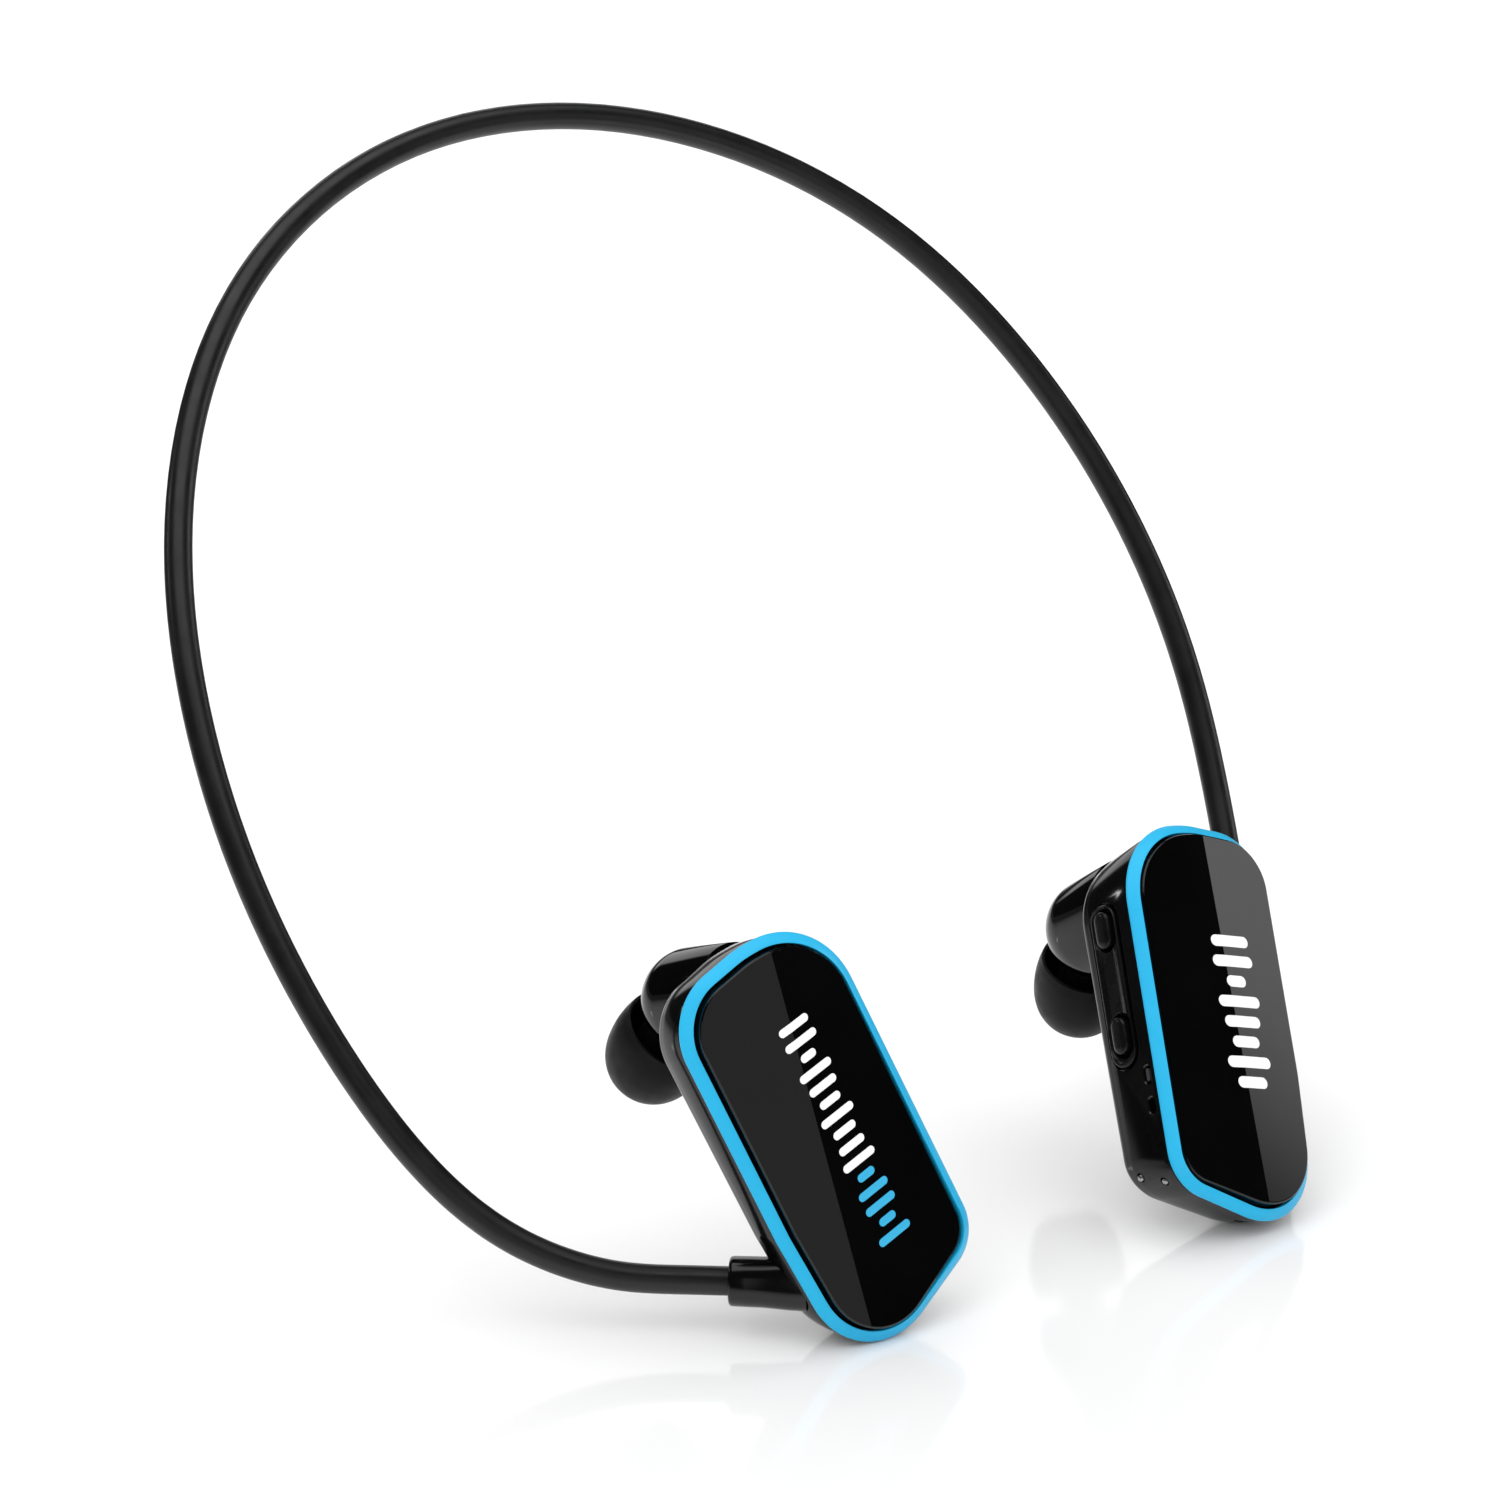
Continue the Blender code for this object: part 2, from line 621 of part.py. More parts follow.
def make_contacts(pod, body):
    """Two sprung charging contacts through the corner below the controls."""
    across, along, radius = CONTROL_CORNER
    centre = Vector((across - radius, along + 0.734 * radius))
    for number, (turn, depth) in enumerate(((-18.0, 6.2), (-34.0, 2.8)), start=1):
        out = Vector((cos(radians(turn)), sin(radians(turn))))
        surface = centre + out * (radius - RIM_INSET)
        place = (pod.side * surface.x, surface.y, -depth)
        aimed = aim(Vector((pod.side * out.x, out.y, 0.0)))
        axis = make_empty("contact_axis_%d" % number, pod.frame, place, aimed)
        hole = turned("contact_hole_%d" % number, cylinder(0.75, -3.0, 2.0), 12, None, axis,
                      cutter=True)
        cut(body, hole)
        pin = [(0.0, -0.1), (0.3, -0.15), (0.45, -0.35), (0.45, -2.2), (0.0, -2.2)]
        turned("right_charging_contact_%d" % number, pin, 12, STEEL, axis)


# ==== neckband =================================================================
def spline_point(p0, p1, p2, p3, t):
    """One point of a Catmull-Rom span between p1 and p2."""
    return 0.5 * (2 * p1 + (p2 - p0) * t + (2 * p0 - 5 * p1 + 4 * p2 - p3) * t ** 2
                  + (3 * p1 - p0 - 3 * p2 + p3) * t ** 3)


def smooth_route(points, samples=12, rounds=40):
    """A dense, evened-out curve through hand-placed points."""
    ends = [2 * points[0] - points[1]] + points + [2 * points[-1] - points[-2]]
    dense = []
    for i in range(1, len(ends) - 2):
        for k in range(samples):
            dense.append(spline_point(*ends[i - 1:i + 3], k / samples))
    dense.append(points[-1])
    for _ in range(rounds):
        middle = [(a + 2 * b + c) / 4 for a, b, c in zip(dense, dense[1:], dense[2:])]
        dense = dense[:2] + middle[1:-1] + dense[-2:]
    return dense


def spaced(points, count):
    """Points at equal distances along a polyline."""
    lengths = [0.0]
    for a, b in zip(points, points[1:]):
        lengths.append(lengths[-1] + (b - a).length)
    result = []
    k = 0
    for i in range(count):
        target = lengths[-1] * i / (count - 1)
        while k < len(points) - 2 and lengths[k + 1] < target:
            k += 1
        share = (target - lengths[k]) / (lengths[k + 1] - lengths[k])
        result.append(points[k].lerp(points[k + 1], share))
    return result


def band_route(pods):
    """Route in the assembly's frame, from inside the right socket to inside the left one."""
    ends = {}
    for pod in pods:
        matrix = pod_matrix(pod)
        end = matrix @ mirrored(pod, BOSS_END)
        out = matrix.to_3x3() @ mirrored(pod, BOSS_DIRECTION)
        ends[pod.name] = [end - out * (SOCKET_DEPTH - GAP), end, end + out * 6.0]
    points = ends["right"] + [Vector(p) for p in BAND_ROUTE] + ends["left"][::-1]
    return spaced(smooth_route(points), BAND_STEPS + 1)


def pod_matrix(pod):
    place, turn = ((LEFT_POD_PLACE, LEFT_POD_TURN) if pod.name == "left"
                   else (RIGHT_POD_PLACE, RIGHT_POD_TURN))
    rotation = Euler([radians(angle) for angle in turn]).to_matrix().to_4x4()
    return Matrix.Translation(Vector(place)) @ rotation


def mirrored(pod, vector):
    return Vector((pod.side * vector.x, vector.y, vector.z))


def band_normal(route):
    """Normal of the loop's mean plane, the axis that the band flexes about."""
    centre = sum(route, Vector()) / len(route)
    normal = Vector()
    for a, b in zip(route, route[1:]):
        normal += (a - centre).cross(b - centre)
    return normal.normalized()


def band_spans(route):
    """The three stretches of the band, each ending half a gap short of a flex point."""
    breaks = [0, RIGHT_FLEX_STEP, LEFT_FLEX_STEP, len(route) - 1]
    spans = []
    for first, last in zip(breaks, breaks[1:]):
        span = [point.copy() for point in route[first:last + 1]]
        if first > 0:
            span[0] += (span[1] - span[0]).normalized() * FLEX_GAP / 2
        if last < len(route) - 1:
            span[-1] += (span[-2] - span[-1]).normalized() * FLEX_GAP / 2
        spans.append(span)
    return spans


def offset_line(span, normal, distance):
    """Shift a stretch sideways within the band's plane."""
    result = []
    for i, point in enumerate(span):
        run = span[min(i + 1, len(span) - 1)] - span[max(i - 1, 0)]
        result.append(point + run.cross(normal).normalized() * distance)
    return result


def swept(name, points, radius, origin, parent, material, resolution, wall=0.0):
    """A round rod or, with a wall, a tube along a polyline, as a welded mesh."""
    curve = bpy.data.curves.new(name, "CURVE")
    curve.dimensions = "3D"
    curve.bevel_depth = radius * MM
    curve.bevel_resolution = resolution
    curve.use_fill_caps = wall == 0.0
    curve.twist_mode = "MINIMUM"
    spline = curve.splines.new("POLY")
    spline.points.add(len(points) - 1)
    for knot, point in zip(spline.points, points):
        knot.co = ((point - origin) * MM).to_4d()
    guide = bpy.data.objects.new(name + "_guide", curve)
    PARTS.objects.link(guide)
    bpy.context.view_layer.update()
    evaluated = guide.evaluated_get(bpy.context.evaluated_depsgraph_get())
    mesh = bpy.data.meshes.new_from_object(evaluated)
    bpy.data.objects.remove(guide, do_unlink=True)
    bpy.data.curves.remove(curve)
    bm = bmesh.new()
    bm.from_mesh(mesh)
    bmesh.ops.remove_doubles(bm, verts=bm.verts, dist=0.000001)
    bmesh.ops.recalc_face_normals(bm, faces=bm.faces)
    bm.to_mesh(mesh)
    bm.free()
    mesh.name = name
    mesh.materials.clear()
    mesh.materials.append(material)
    obj = bpy.data.objects.new(name, mesh)
    PARTS.objects.link(obj)
    obj.parent = parent
    obj.location = origin * MM
    if wall:
        shell = obj.modifiers.new("wall", "SOLIDIFY")
        shell.thickness = wall * MM
        shell.offset = -1.0
    shade_smooth(obj, 50.0)
    return obj


def make_band(pods, parent):
    route = band_route(pods)
    normal = band_normal(route)
    right, rear, left = band_spans(route)
    origins = (route[RIGHT_FLEX_STEP], route[RIGHT_FLEX_STEP], route[LEFT_FLEX_STEP])
    for name, span, origin in zip(("right", "rear", "left"), (right, rear, left), origins):
        swept(name + "_band_sleeve", span, BAND_RADIUS, origin, parent, RUBBER, 2,
              wall=BAND_RADIUS - BAND_BORE)
        swept(name + "_band_wire", offset_line(span, normal, WIRE_OFFSET), WIRE_RADIUS, origin,
              parent, STEEL, 1)
        swept(name + "_band_cable", offset_line(span, normal, CABLE_OFFSET), CABLE_RADIUS, origin,
              parent, COPPER, 1)


# ==== assembly =================================================================
def make_pod(name, side, place, turn, assembly):
    frame = make_empty(name + "_pod_frame", assembly, place,
                       Euler([radians(angle) for angle in turn]))
    bare = Pod(name, side, frame, None, None)
    ear = make_empty(name + "_ear_axis", frame, ear_centre(bare), aim(nozzle_direction(bare)))
    cable = make_empty(name + "_cable_axis", frame, mirrored(bare, BOSS_END),
                       aim(mirrored(bare, BOSS_DIRECTION)))
    return Pod(name, side, frame, ear, cable)


clear_scene()
PARTS = make_collection("neckband_earphones")
CUTTERS = make_collection("cutters")

GLOSS_BLACK = make_material("gloss_black_plastic", (0.008, 0.008, 0.009), 0.08)
SATIN_BLACK = make_material("satin_black_plastic", (0.012, 0.012, 0.013), 0.35)
CYAN = make_material("cyan_plastic", (0.03, 0.49, 0.80), 0.3)
SILICONE = make_material("black_silicone", (0.02, 0.02, 0.022), 0.6)
SOFT_BLACK = make_material("gasket_rubber", (0.03, 0.03, 0.03), 0.7)
RUBBER = make_material("band_rubber", (0.015, 0.015, 0.017), 0.45)
STEEL = make_material("steel", (0.55, 0.55, 0.56), 0.3, 1.0)
MAGNET = make_material("magnet", (0.35, 0.35, 0.37), 0.25, 1.0)
AMBER_FILM = make_material("amber_film", (0.35, 0.22, 0.10), 0.3)
COPPER = make_material("cable_jacket", (0.25, 0.05, 0.04), 0.5)
FOIL = make_material("battery_foil", (0.6, 0.6, 0.62), 0.35, 1.0)
FOAM = make_material("foam", (0.05, 0.05, 0.05), 0.95)
BOARD = make_material("circuit_board", (0.01, 0.10, 0.04), 0.45)
CHIP = make_material("chip_resin", (0.015, 0.015, 0.015), 0.5)
SWITCH = make_material("switch_plastic", (0.4, 0.4, 0.38), 0.5)
LENS = make_material("light_lens", (0.7, 0.75, 0.8), 0.15)

assembly_frame = make_empty("earphones_frame", None, ASSEMBLY_SHIFT)
left_pod = make_pod("left", 1, LEFT_POD_PLACE, LEFT_POD_TURN, assembly_frame)
right_pod = make_pod("right", -1, RIGHT_POD_PLACE, RIGHT_POD_TURN, assembly_frame)
for one_pod, crease_ends in ((left_pod, LEFT_CREASE), (right_pod, RIGHT_CREASE)):
    pod_body = make_body(one_pod)
    make_trim_ring(one_pod)
    make_gasket(one_pod)
    make_cover(one_pod, crease_ends)
    make_ear_housing(one_pod)
    make_nozzle(one_pod)
    make_driver(one_pod)
    make_ear_tip(one_pod)
    make_boss(one_pod)
    if one_pod is right_pod:
        make_controls(one_pod, pod_body)
make_left_inside(left_pod)
make_right_inside(right_pod)
make_band((left_pod, right_pod), assembly_frame)
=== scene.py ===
"""Looks of the neckband earphones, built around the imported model.

Each pod's pieces are drawn in the pod's own frame, in millimetres: X across the pod, Y along
it towards the rounded end, Z out of the glossy cover.  The right pod mirrors the left one
across X.  Pod.world turns those shapes into the model's frame, and finish_mesh into metres.
"""
from collections import namedtuple
from math import atan2, cos, pi, radians, sin, tan

import bmesh
import bpy
from mathutils import Euler, Matrix, Vector


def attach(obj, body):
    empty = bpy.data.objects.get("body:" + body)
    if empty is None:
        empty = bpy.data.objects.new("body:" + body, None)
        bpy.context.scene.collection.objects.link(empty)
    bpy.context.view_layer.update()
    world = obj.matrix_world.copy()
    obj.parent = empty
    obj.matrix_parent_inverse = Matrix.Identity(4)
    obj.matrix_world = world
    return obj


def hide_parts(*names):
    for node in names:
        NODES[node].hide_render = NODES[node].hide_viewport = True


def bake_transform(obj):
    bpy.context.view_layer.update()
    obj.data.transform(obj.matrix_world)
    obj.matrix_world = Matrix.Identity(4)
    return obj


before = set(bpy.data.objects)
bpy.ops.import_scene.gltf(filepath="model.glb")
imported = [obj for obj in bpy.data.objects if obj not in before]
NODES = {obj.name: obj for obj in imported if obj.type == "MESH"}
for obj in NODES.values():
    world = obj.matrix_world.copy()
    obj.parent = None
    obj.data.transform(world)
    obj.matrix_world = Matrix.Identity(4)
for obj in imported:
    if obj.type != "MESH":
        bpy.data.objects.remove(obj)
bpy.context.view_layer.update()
MM = 0.001

# ---- where things stand, as in the model --------------------------------------
ASSEMBLY_SHIFT = Vector((1.69, -1.21, -0.68))
POD_PLACES = {                  # place, turns about X, Y and Z in degrees
    "left": ((8.0, -54.9, 24.7), (73.1, -19.0, 39.9)),
    "right": ((55.9, -15.3, 23.46), (56.9, 16.5, 36.6)),
}

# ---- pod shell ------------------------------------------------------------------
HALF_W = 12.0
HALF_L = 25.0
CONTROL_CORNER = (HALF_W, -21.1, 5.6)
LOWEST_CORNER = (-10.7, -28.2, 9.5)
POD_CORNERS = (                 # across, along, corner radius
    (-HALF_W, HALF_L - 1.1, 7.6),
    (0.0, HALF_L - 0.1, 16.0),
    (HALF_W, HALF_L - 1.2, 10.8),
    CONTROL_CORNER,
    LOWEST_CORNER,
    (-HALF_W, -6.9, 16.0),
)
ARC_STEPS = 20
BACK_DEPTH = 7.9
BACK_SLOPE = 0.02
ACROSS_SLOPE = 0.14
TOP_TAPER = 0.05
BOTTOM_TAPER = 0.055
WALL_INNER = 1.35               # inset of the hollow's wall from the pod's outline
FLOOR_THICKNESS = 1.2
RIM_INSET = 0.15
RIM_DEPTH = 0.6
RIM_ROLL = 0.16                 # how far the rim's rolled edge reaches in and down
BACK_FILLET = 1.7
FILLET_INSET = 0.2              # the walls lean in by this where the back fillet starts
FILLET_STEPS = 10
SHELL_SHARP = 50.0              # degrees from which the shells' edges stay sharp
VENT_HALF_LENGTH = 0.7
VENT_RADIUS = 0.4
VENT_DEPTH = 3.2
VENT_PLACE = 0.42               # share of the way from the lowest to the controls' corner

# ---- trim ring and cover --------------------------------------------------------
RING_WIDTH = 1.3
RING_RISE = 0.9
RING_FOOT = 0.3
COVER_INSET = 1.6
COVER_FOOT = 0.6
CREASE_HEIGHT = 1.9
OUTER_FACET_SLOPE = radians(4.5)
INNER_FACET_SLOPE = radians(0.6)
COVER_SHARP = 3.0               # degrees; low enough to keep the crease sharp
COVER_BEVEL = 0.28
CREASES = {
    "left": ((3.0, 23.0), (-7.0, -21.4)),
    "right": ((-0.6, 23.0), (-1.6, -24.0)),
}

# ---- ear piece ------------------------------------------------------------------
HOUSING_ACROSS = 2.5
HOUSING_ALONG = 16.9
HOUSING_RADIUS = 6.3
HOUSING_WALL = 0.9
HOUSING_HEIGHT = 8.1
HOUSING_GAP = 0.3
NOZZLE_DIRECTION = Vector((-0.35, -0.52, -0.78)).normalized()
FRONT_FACE = 3.6
FRONT_BEVEL = 0.45
NOZZLE_BORE = 1.4
NOZZLE_RADIUS = 2.1
NOZZLE_END = 10.2

# ---- cable boss and neckband ----------------------------------------------------
BOSS_END = Vector((-15.0, -10.8, -9.2))
BOSS_DIRECTION = Vector((-0.67, 0.42, -0.61)).normalized()
BOSS_RADIUS = 2.9
BOSS_LENGTH = 10.0
SOCKET_RADIUS = 1.95
SOCKET_DEPTH = 2.8
BAND_RADIUS = 1.7
BAND_BORE = 1.05
SPRING_SECTION = (0.42, 0.42)   # radius, offset in the band's plane
LEAD_SECTION = (0.32, -0.56)
BAND_STEPS = 66
BAND_DETAIL = 6                 # fine sections for each of the model's sections
BAND_SIDES = 28
BAND_LEAD_OUT = 6.0             # how far the band runs straight out of each socket
RIGHT_FLEX_STEP = 22
LEFT_FLEX_STEP = 45
BAND_ROUTE = (                  # from the right pod over the crown to the left pod
    (63.6, 7.4, 7.4),
    (62.6, 19.6, 15.6),
    (60.1, 33.8, 31.5),
    (54.5, 49.5, 54.5),
    (39.5, 61.0, 81.0),
    (15.5, 64.0, 105.5),
    (-15.0, 55.5, 120.0),
    (-44.0, 38.0, 121.0),
    (-64.0, 13.0, 107.5),
    (-69.5, -13.0, 83.0),
    (-62.0, -35.5, 55.0),
    (-47.5, -50.0, 31.0),
    (-33.0, -56.0, 15.0),
    (-19.0, -57.0, 8.5),
)

# ---- controls on the right pod's long side wall (along, height below the cover) --
SIDE_WALL = HALF_W - RIM_INSET
STRIP_TOP = 15.2
STRIP_BOTTOM = -5.2
STRIP_FRONT = 2.9
STRIP_BACK = 7.1
STRIP_MIDDLE = ((STRIP_TOP + STRIP_BOTTOM) / 2, (STRIP_FRONT + STRIP_BACK) / 2)
STRIP_HALVES = ((STRIP_TOP - STRIP_BOTTOM) / 2, (STRIP_BACK - STRIP_FRONT) / 2)
STRIP_RISE = 0.25
STRIP_ROLL = 0.3
STRIP_ROLL_STEPS = 5
UPPER_BUTTON = (12.0, 4.9)
LOWER_BUTTON = (-1.3, 4.9)
BUTTON_HALVES = (2.3, 1.2)      # half length, half width
BUTTON_RISE = 0.8
BUTTON_DOME = (0.75, 0.45)      # how far the domed edge reaches in and down
BUTTON_DOME_STEPS = 7
FLANGE_DEPTH = 1.5
FLANGE_THICKNESS = 0.6
FLANGE_REACH = 0.3
STEM_RADIUS = 0.8
STATUS_SLIT = (-7.0, 1.7)
STATUS_SLIT_HALVES = (1.1, 0.55)
RESET_SLIT = (-10.8, 1.8)
RESET_SLIT_HALVES = (1.0, 0.5)
CUTTER_REACH = 3.0
CONTACT_SPOTS = ((-18.0, 6.2), (-34.0, 2.8))    # turn round the corner in degrees, depth
CONTACT_CENTRE = 0.734          # the corner arc's centre above the corner, in radii
CONTACT_HOLE = 0.6

# ---- printed sound-level bars on the covers --------------------------------------
# centre across, first bar along, pitch, bar half width, bar count, tallest half height
LEFT_BARS = (1.4, 14.0, 2.0, 0.5, 15, 2.6)
RIGHT_BARS = (-2.2, 9.6, 2.55, 0.72, 8, 3.5)
CYAN_BARS = 5
BAR_LEAST = 0.42                # the shortest bar's share of the tallest one's height
BAR_WAVE = (1.15, 0.9)          # step from bar to bar and start of the wave of heights
BAR_END_STEPS = 8
PRINT_THICKNESS = 0.03
PRINT_CLEARANCE = 0.004

# ---- materials and stage ---------------------------------------------------------
NOISE_RANGE = (0.3, 0.7)        # the part of the noise that drives a roughness
RAMP_RANGE = (0.35, 0.65)       # the part of the noise that drives a colour
CARD_CENTRE = Vector((0.0, 0.0, 0.03))
LIGHT_TARGET = Vector((0.0, 0.0, 0.04))
CAMERA_PLACE = (-0.9, -648.6, 269.9)
CAMERA_TILT = 18.5
CAMERA_LENS = 134.4
FLOOR_RADIUS = 30.0
FLOOR_WHITE = 0.93
FLOOR_DIMMED = 0.1
FLOOR_SHINE = 0.4
FLOOR_FADE = (0.12, 0.5)        # metres from the middle where the floor's shine fades
WORLD_LIGHT = 1.12
WORLD_REFLECTED = 0.02

Pod = namedtuple("Pod", "name side world")


# ==== small geometry helpers ======================================================
def pod_world(name):
    place, turn = POD_PLACES[name]
    rotation = Euler([radians(angle) for angle in turn]).to_matrix().to_4x4()
    return Matrix.Translation(Vector(place) + ASSEMBLY_SHIFT) @ rotation


def mirrored(pod, vector):
    return Vector((pod.side * vector.x, vector.y, vector.z))


def axis_frame(origin, direction):
    return Matrix.Translation(origin) @ direction.to_track_quat("Z", "Y").to_matrix().to_4x4()


def new_object(name, bm, material):
    mesh = bpy.data.meshes.new(name)
    bm.to_mesh(mesh)
    bm.free()
    if material:
        mesh.materials.append(material)
    obj = bpy.data.objects.new(name, mesh)
    bpy.context.scene.collection.objects.link(obj)
    return obj


def shade(obj, sharp):
    obj.data.shade_smooth()
    obj.data.set_sharp_from_angle(angle=radians(sharp))


def finish_mesh(name, bm, world, material, sharp=35.0):
    """Turn a millimetre bmesh into a smooth-shaded object in the model's metres."""
    bmesh.ops.recalc_face_normals(bm, faces=bm.faces)
    bm.transform(Matrix.Scale(MM, 4) @ world)
    obj = new_object(name, bm, material)
    shade(obj, sharp)
    return obj


def skin(rings, closed=False):
    """Skin rings that have equal point counts, capped unless the last joins the first."""
    bm = bmesh.new()
    layers = [[bm.verts.new(point) for point in ring] for ring in rings]
    count = len(layers[0])
    pairs = list(zip(layers, layers[1:]))
    if closed:
        pairs.append((layers[-1], layers[0]))
    for lower, upper in pairs:
        for i in range(count):
            j = (i + 1) % count
            bm.faces.new((lower[i], lower[j], upper[j], upper[i]))
    if not closed:
        bm.faces.new(layers[0])
        bm.faces.new(layers[-1])
    return bm


def turned(profile, steps):
    """Revolve a (radius, height) profile about Z; points on the axis are welded."""
    bm = bmesh.new()
    verts = [bm.verts.new((radius, 0.0, height)) for radius, height in profile]
    links = list(zip(verts, verts[1:]))
    if profile[0][0] > 0.0 and profile[-1][0] > 0.0:
        links.append((verts[-1], verts[0]))
    edges = [bm.edges.new(pair) for pair in links]
    bmesh.ops.spin(bm, geom=verts + edges, axis=(0, 0, 1), cent=(0, 0, 0), angle=2 * pi,
                   steps=steps, use_merge=True)
    bmesh.ops.remove_doubles(bm, verts=bm.verts, dist=0.0005)
    return bm


def slice_off(bm, point, normal):
    """Cut a solid flat and drop what lies on the normal's side."""
    geometry = list(bm.verts) + list(bm.edges) + list(bm.faces)
    sliced = bmesh.ops.bisect_plane(bm, geom=geometry, plane_co=point, plane_no=normal,
                                    clear_outer=True, dist=0.00001)
    edges = [item for item in sliced["geom_cut"] if isinstance(item, bmesh.types.BMEdge)]
    bmesh.ops.edgenet_fill(bm, edges=edges)


def arc(centre, radius, start, end, steps):
    """Points of a circular arc in the (radius, height) plane, angles in degrees."""
    points = []
    for k in range(steps + 1):
        turn = radians(start + (end - start) * k / steps)
        points.append((centre[0] + radius * cos(turn), centre[1] + radius * sin(turn)))
    return points


def smooth_profile(points, samples=6):
    """A Catmull-Rom curve through given (radius, height) points."""
    ends = [points[0]] + list(points) + [points[-1]]
    ends = [Vector((r, h, 0.0)) for r, h in ends]
    result = []
    for i in range(1, len(ends) - 2):
        for k in range(samples):
            point = spline_point(*ends[i - 1:i + 3], k / samples)
            result.append((point.x, point.y))
    result.append((ends[-1].x, ends[-1].y))
    return result


def spline_point(p0, p1, p2, p3, t):
    return 0.5 * (2 * p1 + (p2 - p0) * t + (2 * p0 - 5 * p1 + 4 * p2 - p3) * t ** 2
                  + (3 * p1 - p0 - 3 * p2 + p3) * t ** 3)


def cut(obj, cutters):
    """Subtract cutters from a piece, apply the result and remove the cutters."""
    for cutter in cutters:
        boolean = obj.modifiers.new("cut", "BOOLEAN")
        boolean.object = cutter
        boolean.solver = "EXACT"
    apply_modifiers(obj)
    for cutter in cutters:
        bpy.data.objects.remove(cutter, do_unlink=True)
    shade(obj, 35.0)


def apply_modifiers(obj):
    bpy.context.view_layer.update()
    evaluated = obj.evaluated_get(bpy.context.evaluated_depsgraph_get())
    mesh = bpy.data.meshes.new_from_object(evaluated)
    obj.modifiers.clear()
    obj.data = mesh
    mesh.name = obj.name


def soften(obj, width, angle):
    """Round the edges that are sharper than an angle."""
    bevel = obj.modifiers.new("soften", "BEVEL")
    bevel.width = width * MM
    bevel.segments = 4
    bevel.limit_method = "ANGLE"
    bevel.angle_limit = radians(angle)
    bevel.harden_normals = True
    apply_modifiers(obj)


# ==== outlines ====================================================================
def inset_corners(corners, inset):
    """Move each side in by the inset; the corners' radii shrink with it."""
    count = len(corners)
    sides = []
    for i in range(count):
        start = Vector(corners[i][:2])
        run = (Vector(corners[(i + 1) % count][:2]) - start).normalized()
        sides.append((start + Vector((run.y, -run.x)) * inset, run))
    result = []
    for i in range(count):
        (p, u), (q, v) = sides[i - 1], sides[i]
        corner = p + u * ((q - p).cross(v) / u.cross(v))
        result.append((corner.x, corner.y, max(corners[i][2] - inset, 0.4)))
    return result


def rounded_outline(inset):
    corners = inset_corners(POD_CORNERS, inset)
    count = len(corners)
    points = []
    for i in range(count):
        corner = Vector(corners[i][:2])
        before = (Vector(corners[i - 1][:2]) - corner).normalized()
        after = (Vector(corners[(i + 1) % count][:2]) - corner).normalized()
        half = before.angle(after) / 2
        radius = corners[i][2]
        centre = corner + (before + after).normalized() * (radius / sin(half))
        first = corner + before * (radius / tan(half)) - centre
        last = corner + after * (radius / tan(half)) - centre
        start = atan2(first.y, first.x)
        sweep = (atan2(last.y, last.x) - start + pi) % (2 * pi) - pi
        for k in range(ARC_STEPS + 1):
            turn = start + sweep * k / ARC_STEPS
            points.append(centre + Vector((cos(turn), sin(turn))) * radius)
    return points


def back_depth(across, along):
    """How far the pod's sloping back lies below the cover's plane."""
    return BACK_DEPTH + BACK_SLOPE * along + ACROSS_SLOPE * across


def pod_ring(pod, inset, height=None, lift=None):
    """The pod's outline at a height, or at a lift above its sloping back."""
    ring = []
    for point in rounded_outline(inset):
        z = height if lift is None else lift - back_depth(point.x, point.y)
        taper = TOP_TAPER if point.y > 0.0 else BOTTOM_TAPER
        shorten = 1 + taper * min(z, 0.0) / BACK_DEPTH
        ring.append((pod.side * point.x, point.y * shorten, z))
    return ring


def oval(pod, spot, half_length, half_width, across, steps=14):
    """A slot-shaped ring on the side wall; spot is (along, depth below the cover)."""
    along, depth = spot
    straight = half_length - half_width
    ring = []
    for end, start in ((1, 0.0), (-1, pi)):
        for k in range(steps + 1):
            turn = start + pi * k / steps
            y = along + end * straight + half_width * sin(turn)
            ring.append((pod.side * across, y, half_width * cos(turn) - depth))
    return ring


def oval_rings(pod, spot, halves, levels):
    """One oval for each level of (growth, distance across the pod)."""
    return [oval(pod, spot, halves[0] + grow, halves[1] + grow, across)
            for grow, across in levels]


def oval_stack(name, pod, spot, halves, levels, material=None):
    return finish_mesh(name, skin(oval_rings(pod, spot, halves, levels)), pod.world, material)


# ==== materials ===================================================================
def new_material(name, colour, roughness, **sockets):
    material = bpy.data.materials.new(name)
    material.use_nodes = True
    shader = material.node_tree.nodes["Principled BSDF"]
    shader.inputs["Base Color"].default_value = (*colour, 1.0)
    shader.inputs["Roughness"].default_value = roughness
    for socket, value in sockets.items():
        shader.inputs[socket.replace("_", " ")].default_value = value
    return material


def math_node(tree, operation, first, second):
    node = tree.nodes.new("ShaderNodeMath")
    node.operation = operation
    for socket, value in zip(node.inputs, (first, second)):
        if isinstance(value, float):
            socket.default_value = value
        else:
            tree.links.new(value, socket)
    return node.outputs["Value"]


def map_range(tree, value, from_min, from_max, to_min, to_max, smooth=False):
    node = tree.nodes.new("ShaderNodeMapRange")
    if smooth:
        node.interpolation_type = "SMOOTHSTEP"
    node.inputs["From Min"].default_value = from_min
    node.inputs["From Max"].default_value = from_max
    node.inputs["To Min"].default_value = to_min
    node.inputs["To Max"].default_value = to_max
    tree.links.new(value, node.inputs["Value"])
    return node.outputs["Result"]


def noise_node(material, scale, detail=3.0):
    tree = material.node_tree
    coordinates = tree.nodes.new("ShaderNodeTexCoord")
    noise = tree.nodes.new("ShaderNodeTexNoise")
    noise.inputs["Scale"].default_value = scale
    noise.inputs["Detail"].default_value = detail
    tree.links.new(coordinates.outputs["Object"], noise.inputs["Vector"])
    return noise


